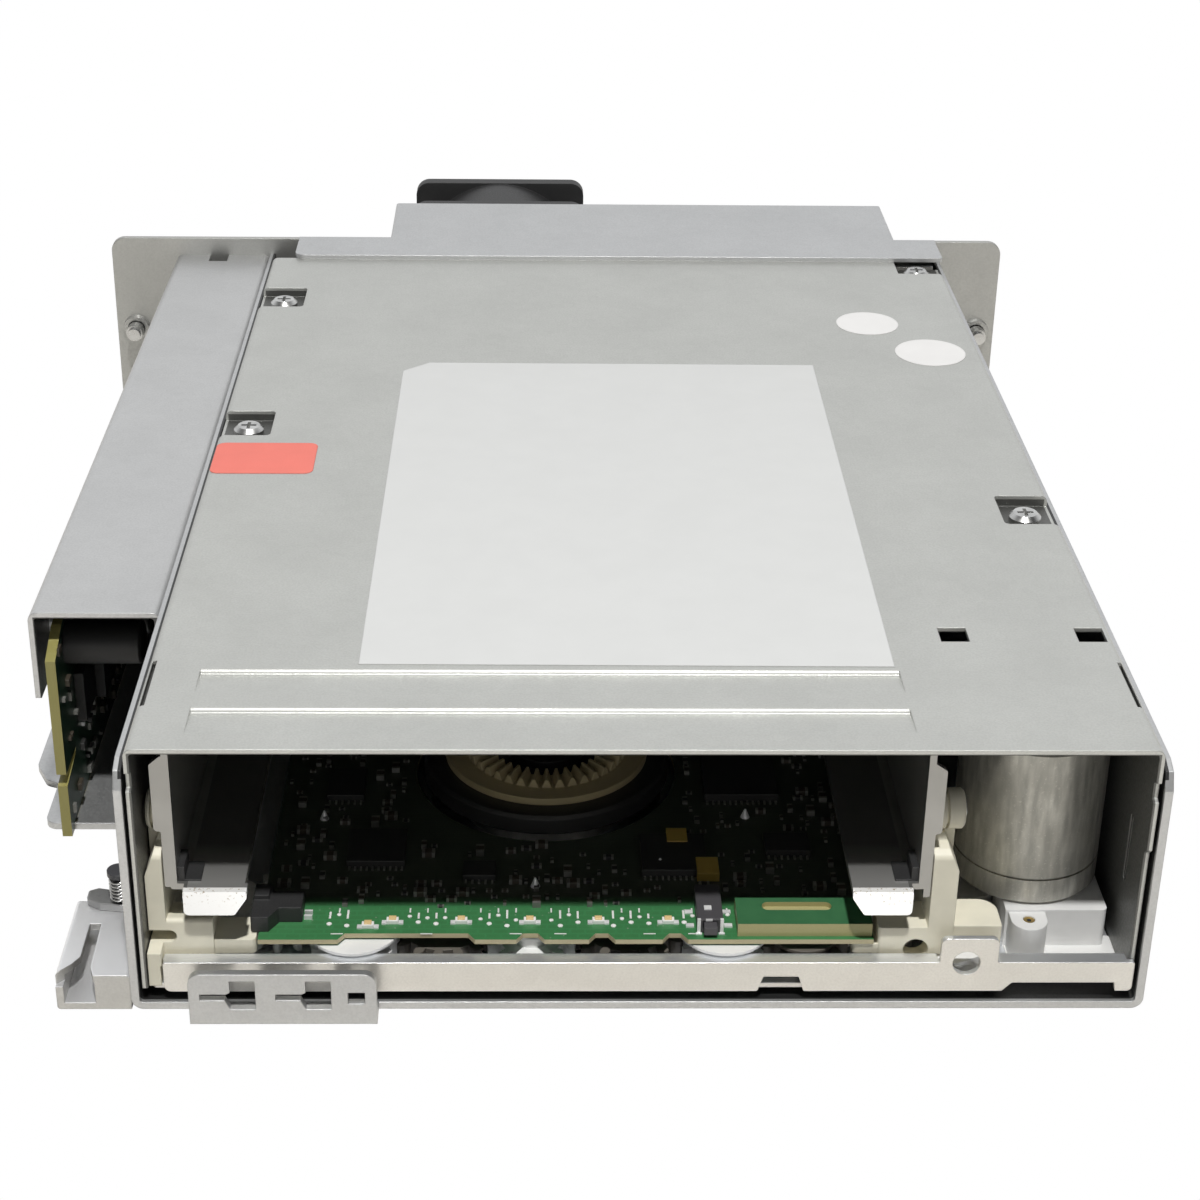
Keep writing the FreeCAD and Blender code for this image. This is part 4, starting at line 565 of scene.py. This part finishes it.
def small_part(x, y, w, d, h, slot):
    """Boxes of one two-ended part lying along X or Y: a body with two solder ends."""
    cap = max(w, d) * 0.24
    if w >= d:
        items = [on_board(x - w / 2 + cap, x + w / 2 - cap, y - d / 2, y + d / 2, h, slot)]
        for edge, inner in ((x - w / 2, x - w / 2 + cap), (x + w / 2, x + w / 2 - cap)):
            items.append(on_board(min(edge, inner), max(edge, inner), y - d / 2, y + d / 2, h))
        return items
    items = [on_board(x - w / 2, x + w / 2, y - d / 2 + cap, y + d / 2 - cap, h, slot)]
    for edge, inner in ((y - d / 2, y - d / 2 + cap), (y + d / 2, y + d / 2 - cap)):
        items.append(on_board(x - w / 2, x + w / 2, min(edge, inner), max(edge, inner), h))
    return items


def strip_lamps():
    """The lamps along the board's front edge, each on two pads."""
    items = []
    for x, y in LAMPS:
        items.append(on_board(x - 0.9, x + 0.9, y - 0.5, y + 0.5, 0.7, 1))
        items.append(on_board(x - 0.55, x + 0.55, y - 0.35, y + 0.55, 0.9, 3, base=0.7))
        for pad in (x - 1.25, x + 1.25):
            items.append(on_board(pad - 0.35, pad + 0.35, y - 0.55, y + 0.3, 0.25))
    boxes("strip_lamps", items, [SOLDER, SILK, CHIP, LED], "sled")


def strip_marks():
    """Pads and plain ticks between the lamps."""
    first, pitch, count, clear = -46.0, 1.32, 46, 1.9
    pad, ink = 0.12, 0.02
    skipped = [x for x, _ in LAMPS] + [SWITCH_X]
    pads, marks = [], []
    for k in range(count):
        x = first + k * pitch
        if any(abs(x - a) < clear for a in skipped):
            continue
        if k % 2 == 0:
            pads.append((x, 6.9 + 0.5 * math.sin(k * 2.1), BOARD_TOP, pad, 0.40, 0.40))
            marks.append(on_board(x - 0.16, x + 0.16, 8.3, 10.0 + 0.5 * math.sin(k), ink))
        else:
            pads.append((x, 8.5 + 0.7 * math.sin(k * 1.7), BOARD_TOP, pad, 0.34, 0.34))
            marks.append(on_board(x - 0.12, x + 0.12, 9.8, 10.9, ink))
        if k % 5 == 1:
            marks.append(on_board(x - 0.9, x + 0.9, 4.4, 4.65, ink))
    studs("strip_pads", pads, SILK, "sled")
    boxes("strip_marks", marks, [SILK], "sled")


def free_of(x, y, w, d, taken):
    gap = 0.35
    return all(abs(x - a) > (w + b) / 2 + gap or abs(y - c) > (d + e) / 2 + gap for a, c, b, e in taken)


def chip_leads():
    """A row of leads at the front and back of each package."""
    pitch, half_width, half_length, height = 0.9, 0.16, 0.45, 0.22
    leads = []
    for x, y, w, d in CHIPS:
        count = int(w / pitch)
        for i in range(count):
            px = x - w / 2 + (i + 0.5) * w / count
            for py in (y - (d / 2 + half_length), y + (d / 2 + half_length)):
                leads.append(on_board(px - half_width, px + half_width,
                                      py - half_length, py + half_length, height))
    return leads


def board_field():
    """Small parts on a grid around the board's larger packages."""
    tries, most, grid, lead_room = 2600, 420, 0.8, 2.4
    taken = [(x, y, w + lead_room, d + lead_room) for x, y, w, d in CHIPS] + KEPT_FREE
    items = []
    for x, y, w, d in TANTALUMS:
        items.append(on_board(x - w / 2, x + w / 2, y - d / 2, y + d / 2, 1.5, 3))
        taken.append((x, y, w, d))
    for _ in range(tries):
        w, d, h, slot = random.choice(PART_SIZES)
        if random.random() < 0.5:
            w, d = d, w
        x, y = random.uniform(-55, 33.5), random.uniform(11.0, 102.5)
        x, y = round(x / grid) * grid, round(y / grid) * grid
        if free_of(x, y, w, d, taken):
            taken.append((x, y, w, d))
            items += small_part(x, y, w, d, h, slot)
        if len(taken) > most:
            break
    boxes("board_small_parts", items, [DULL, CHIP, CAPACITOR, TANTALUM], "sled")
    boxes("board_leads", chip_leads(), [DULL], "sled")


def solder_cones():
    """Solder heaps on the main board."""
    foot, tip, height = 0.75, 0.15, 1.5
    places = ((-49, 35), (-15.4, 16.6), (3.9, 21.8), (18.2, 35.6))
    heaps = [(x, y, BOARD_TOP, height, foot, tip) for x, y in places]
    studs("board_solder_cones", heaps, SOLDER, "sled", 14)


def gearbox_bits():
    """Bare label on the floor and the screw in the gearbox's boss."""
    floor = 3.6
    x, y, boss_top = 58.6, 8.1, 9.3
    prism("floor_label", rounded(55.6, 72.2, 5.1, 12.4, 0.4), floor, floor + 0.08, PAPER_WHITE, "sled")
    studs("gearbox_screw", [(x, y, boss_top, 0.3, 0.85, 0.85)], GOLD, "sled", 20)
    # Painted shade: a thin dark disc on the screw head stands in for the shade in its slot.
    studs("gearbox_screw_slot_painted_shade", [(x, y, boss_top + 0.28, 0.05, 0.35, 0.35)], CHIP, "sled", 6)


def switch_contacts():
    """Metal parts of the eject switch and pins of the cartridge sensor."""
    contact, sole, leg_height, foot_height, pad_height, pin_height = 2.55, 2.45, 2.5, 0.2, 0.25, 0.7
    items = [on_board(9.7, 10.8, 7.1, 8.1, contact, base=contact - 0.15),
             on_board(9.8, 10.8, 4.7, 4.85, sole, base=sole - 0.35)]
    for s in (-1, 1):
        leg = SWITCH_X + 0.1 + s * 1.7
        items.append(on_board(leg - 0.25, leg + 0.25, 4.5, 4.95, leg_height))
        items.append(on_board(leg - 0.45, leg + 0.45, 4.2, 4.6, foot_height))
        pad = SWITCH_X + 0.05 + s * 2.85
        items += [on_board(pad - 0.6, pad + 0.6, y - 0.4, y + 0.4, pad_height) for y in (6.4, 9.8)]
    for y in (8.0, 9.2):
        items.append(on_board(-49.8, -48.6, y, y + 0.4, pin_height))
    boxes("switch_contacts", items, [SOLDER], "sled")


# Places on the side board that its small parts leave free: y, z, width, height.
SIDE_KEPT_FREE = [(58, 32, 20, 9), (80, 31, 22, 9), (60, 20, 10, 10), (78, 18, 15, 15), (100, 22, 11, 15),
                  (122, 20, 17, 13), (146, 24, 9, 13), (168, 18, 13, 13), (194, 19, 21, 23)]


def side_board_field():
    """Small parts and two rows of pins on the inner face of the side board."""
    tries, face = 500, SIDE_BOARD_FACE
    items, taken = [], list(SIDE_KEPT_FREE)
    for _ in range(tries):
        w, h = random.choice(((1.6, 0.8), (0.8, 1.6), (1.0, 0.6), (2.0, 1.3)))
        y, z = random.uniform(46, 203), random.uniform(3, 34)
        at_slit = y < 55 and 8 < z < 14
        if free_of(y, z, w, h, taken) and not at_slit:
            taken.append((y, z, w, h))
            front = face + random.choice((0.4, 0.5, 0.7))
            slot = random.choice((0, 1, 2))
            items.append((face, front, y - w / 2, y + w / 2, z - h / 2, z + h / 2, slot))
    for z in (26, 13):
        for k in range(4):
            y = 58 + 1.6 * k
            items.append((face, face + 0.5, y, y + 0.7, z, z + 0.7, 3))
    boxes("side_board_small_parts", items, [DULL, CHIP, CAPACITOR, SOLDER], "sled")


# ---------------------------------------------------------------- latch spring
def latch_coil():
    """The coil itself, in place of the frame's plain sleeve."""
    x, y, foot = -78.6, 16.6, 7.62
    turns, steps, r, height, gauge = 6.5, 20, 1.35, 4.0, 0.22
    last = int(turns * steps)
    points = []
    for i in range(last + 1):
        t = 2 * math.pi * i / steps
        points.append((x + r * math.cos(t), y + r * math.sin(t), foot + height * i / last))
    coil = wire("latch_coil", points, gauge, SPRING, "sled")
    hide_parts("latch_spring")


# ---------------------------------------------------------------- studio
def floor_material():
    """White to the camera; a pale sheet in reflections, and a greyer one to rough faces near it."""
    material = bpy.data.materials.new("floor")
    material.use_nodes = True
    tree = material.node_tree
    tree.nodes.clear()
    seen = tree.nodes.new("ShaderNodeEmission")
    seen.inputs["Color"].default_value = (1, 1, 1, 1)
    seen.inputs["Strength"].default_value = 1.0
    lit = tree.nodes.new("ShaderNodeBsdfDiffuse")
    path = tree.nodes.new("ShaderNodeLightPath")
    tint = tree.nodes.new("ShaderNodeMix")
    tint.data_type = "RGBA"
    tint.inputs[6].default_value = (0.92, 0.89, 0.84, 1)
    tint.inputs[7].default_value = (0.40, 0.39, 0.37, 1)
    tree.links.new(path.outputs["Is Diffuse Ray"], tint.inputs[0])
    tree.links.new(tint.outputs[2], lit.inputs["Color"])
    mix = tree.nodes.new("ShaderNodeMixShader")
    out = tree.nodes.new("ShaderNodeOutputMaterial")
    tree.links.new(path.outputs["Is Camera Ray"], mix.inputs[0])
    tree.links.new(lit.outputs[0], mix.inputs[1])
    tree.links.new(seen.outputs[0], mix.inputs[2])
    tree.links.new(mix.outputs[0], out.inputs["Surface"])
    return material


def floor():
    half, below = 6000, -0.02
    corners = [(-half, -half, below), (half, -half, below), (half, half, below), (-half, half, below)]
    new_mesh("floor", corners, [(0, 1, 2, 3)], [floor_material()])


def surroundings():
    """Even light that grows from dim in front to bright behind."""
    world = bpy.data.worlds.new("studio")
    scene.world = world
    world.use_nodes = True
    tree = world.node_tree
    place = tree.nodes.new("ShaderNodeTexCoord")
    split = tree.nodes.new("ShaderNodeSeparateXYZ")
    sweep = tree.nodes.new("ShaderNodeMapRange")
    sweep.interpolation_type = "SMOOTHSTEP"
    for key, number in (("From Min", -0.15), ("From Max", 0.55), ("To Min", 0.09), ("To Max", 0.80)):
        sweep.inputs[key].default_value = number
    tree.links.new(place.outputs["Generated"], split.inputs[0])
    tree.links.new(split.outputs[1], sweep.inputs["Value"])
    tree.links.new(sweep.outputs["Result"], tree.nodes["Background"].inputs["Strength"])
    tree.nodes["Background"].inputs["Color"].default_value = (0.98, 0.99, 1.0, 1.0)


def lamp(name, position, target, size, power, colour):
    """Round area light; its places and size are metres, its power watts."""
    data = bpy.data.lights.new(name, "AREA")
    data.shape = "DISK"
    data.size = size
    data.energy = power
    data.color = colour
    obj = bpy.data.objects.new(name, data)
    obj.location = position
    obj.rotation_euler = (Vector(target) - Vector(position)).to_track_quat("-Z", "Y").to_euler()
    scene.collection.objects.link(obj)


def studio():
    floor()
    surroundings()
    lamp("key", (0.02, -0.386, 1.15), (0.0, 0.06, 0.02), 0.06, 11.5, (1.0, 0.995, 0.975))
    lamp("fill", (-0.05, -1.0, 0.12), (0.0, 0.05, 0.02), 0.30, 0.62, (1.0, 1.0, 1.0))


def camera():
    """Looks down on the drive's front; its place is metres."""
    data = bpy.data.cameras.new("camera")
    data.sensor_width = 36.0
    data.lens = 68.7
    data.shift_x = 0.0193
    data.shift_y = -0.0736
    data.clip_start = 0.01
    obj = bpy.data.objects.new("camera", data)
    obj.location = (-0.0161, -0.2728, 0.2138)
    obj.rotation_euler = (math.radians(64.11), math.radians(-0.66), math.radians(-0.93))
    scene.collection.objects.link(obj)
    scene.camera = obj


dress_nodes()
front_label()
seals()
strip_lamps()
strip_marks()
board_field()
solder_cones()
gearbox_bits()
switch_contacts()
side_board_field()
latch_coil()
studio()
camera()
scene.view_settings.view_transform = "Standard"

bpy.context.view_layer.update()
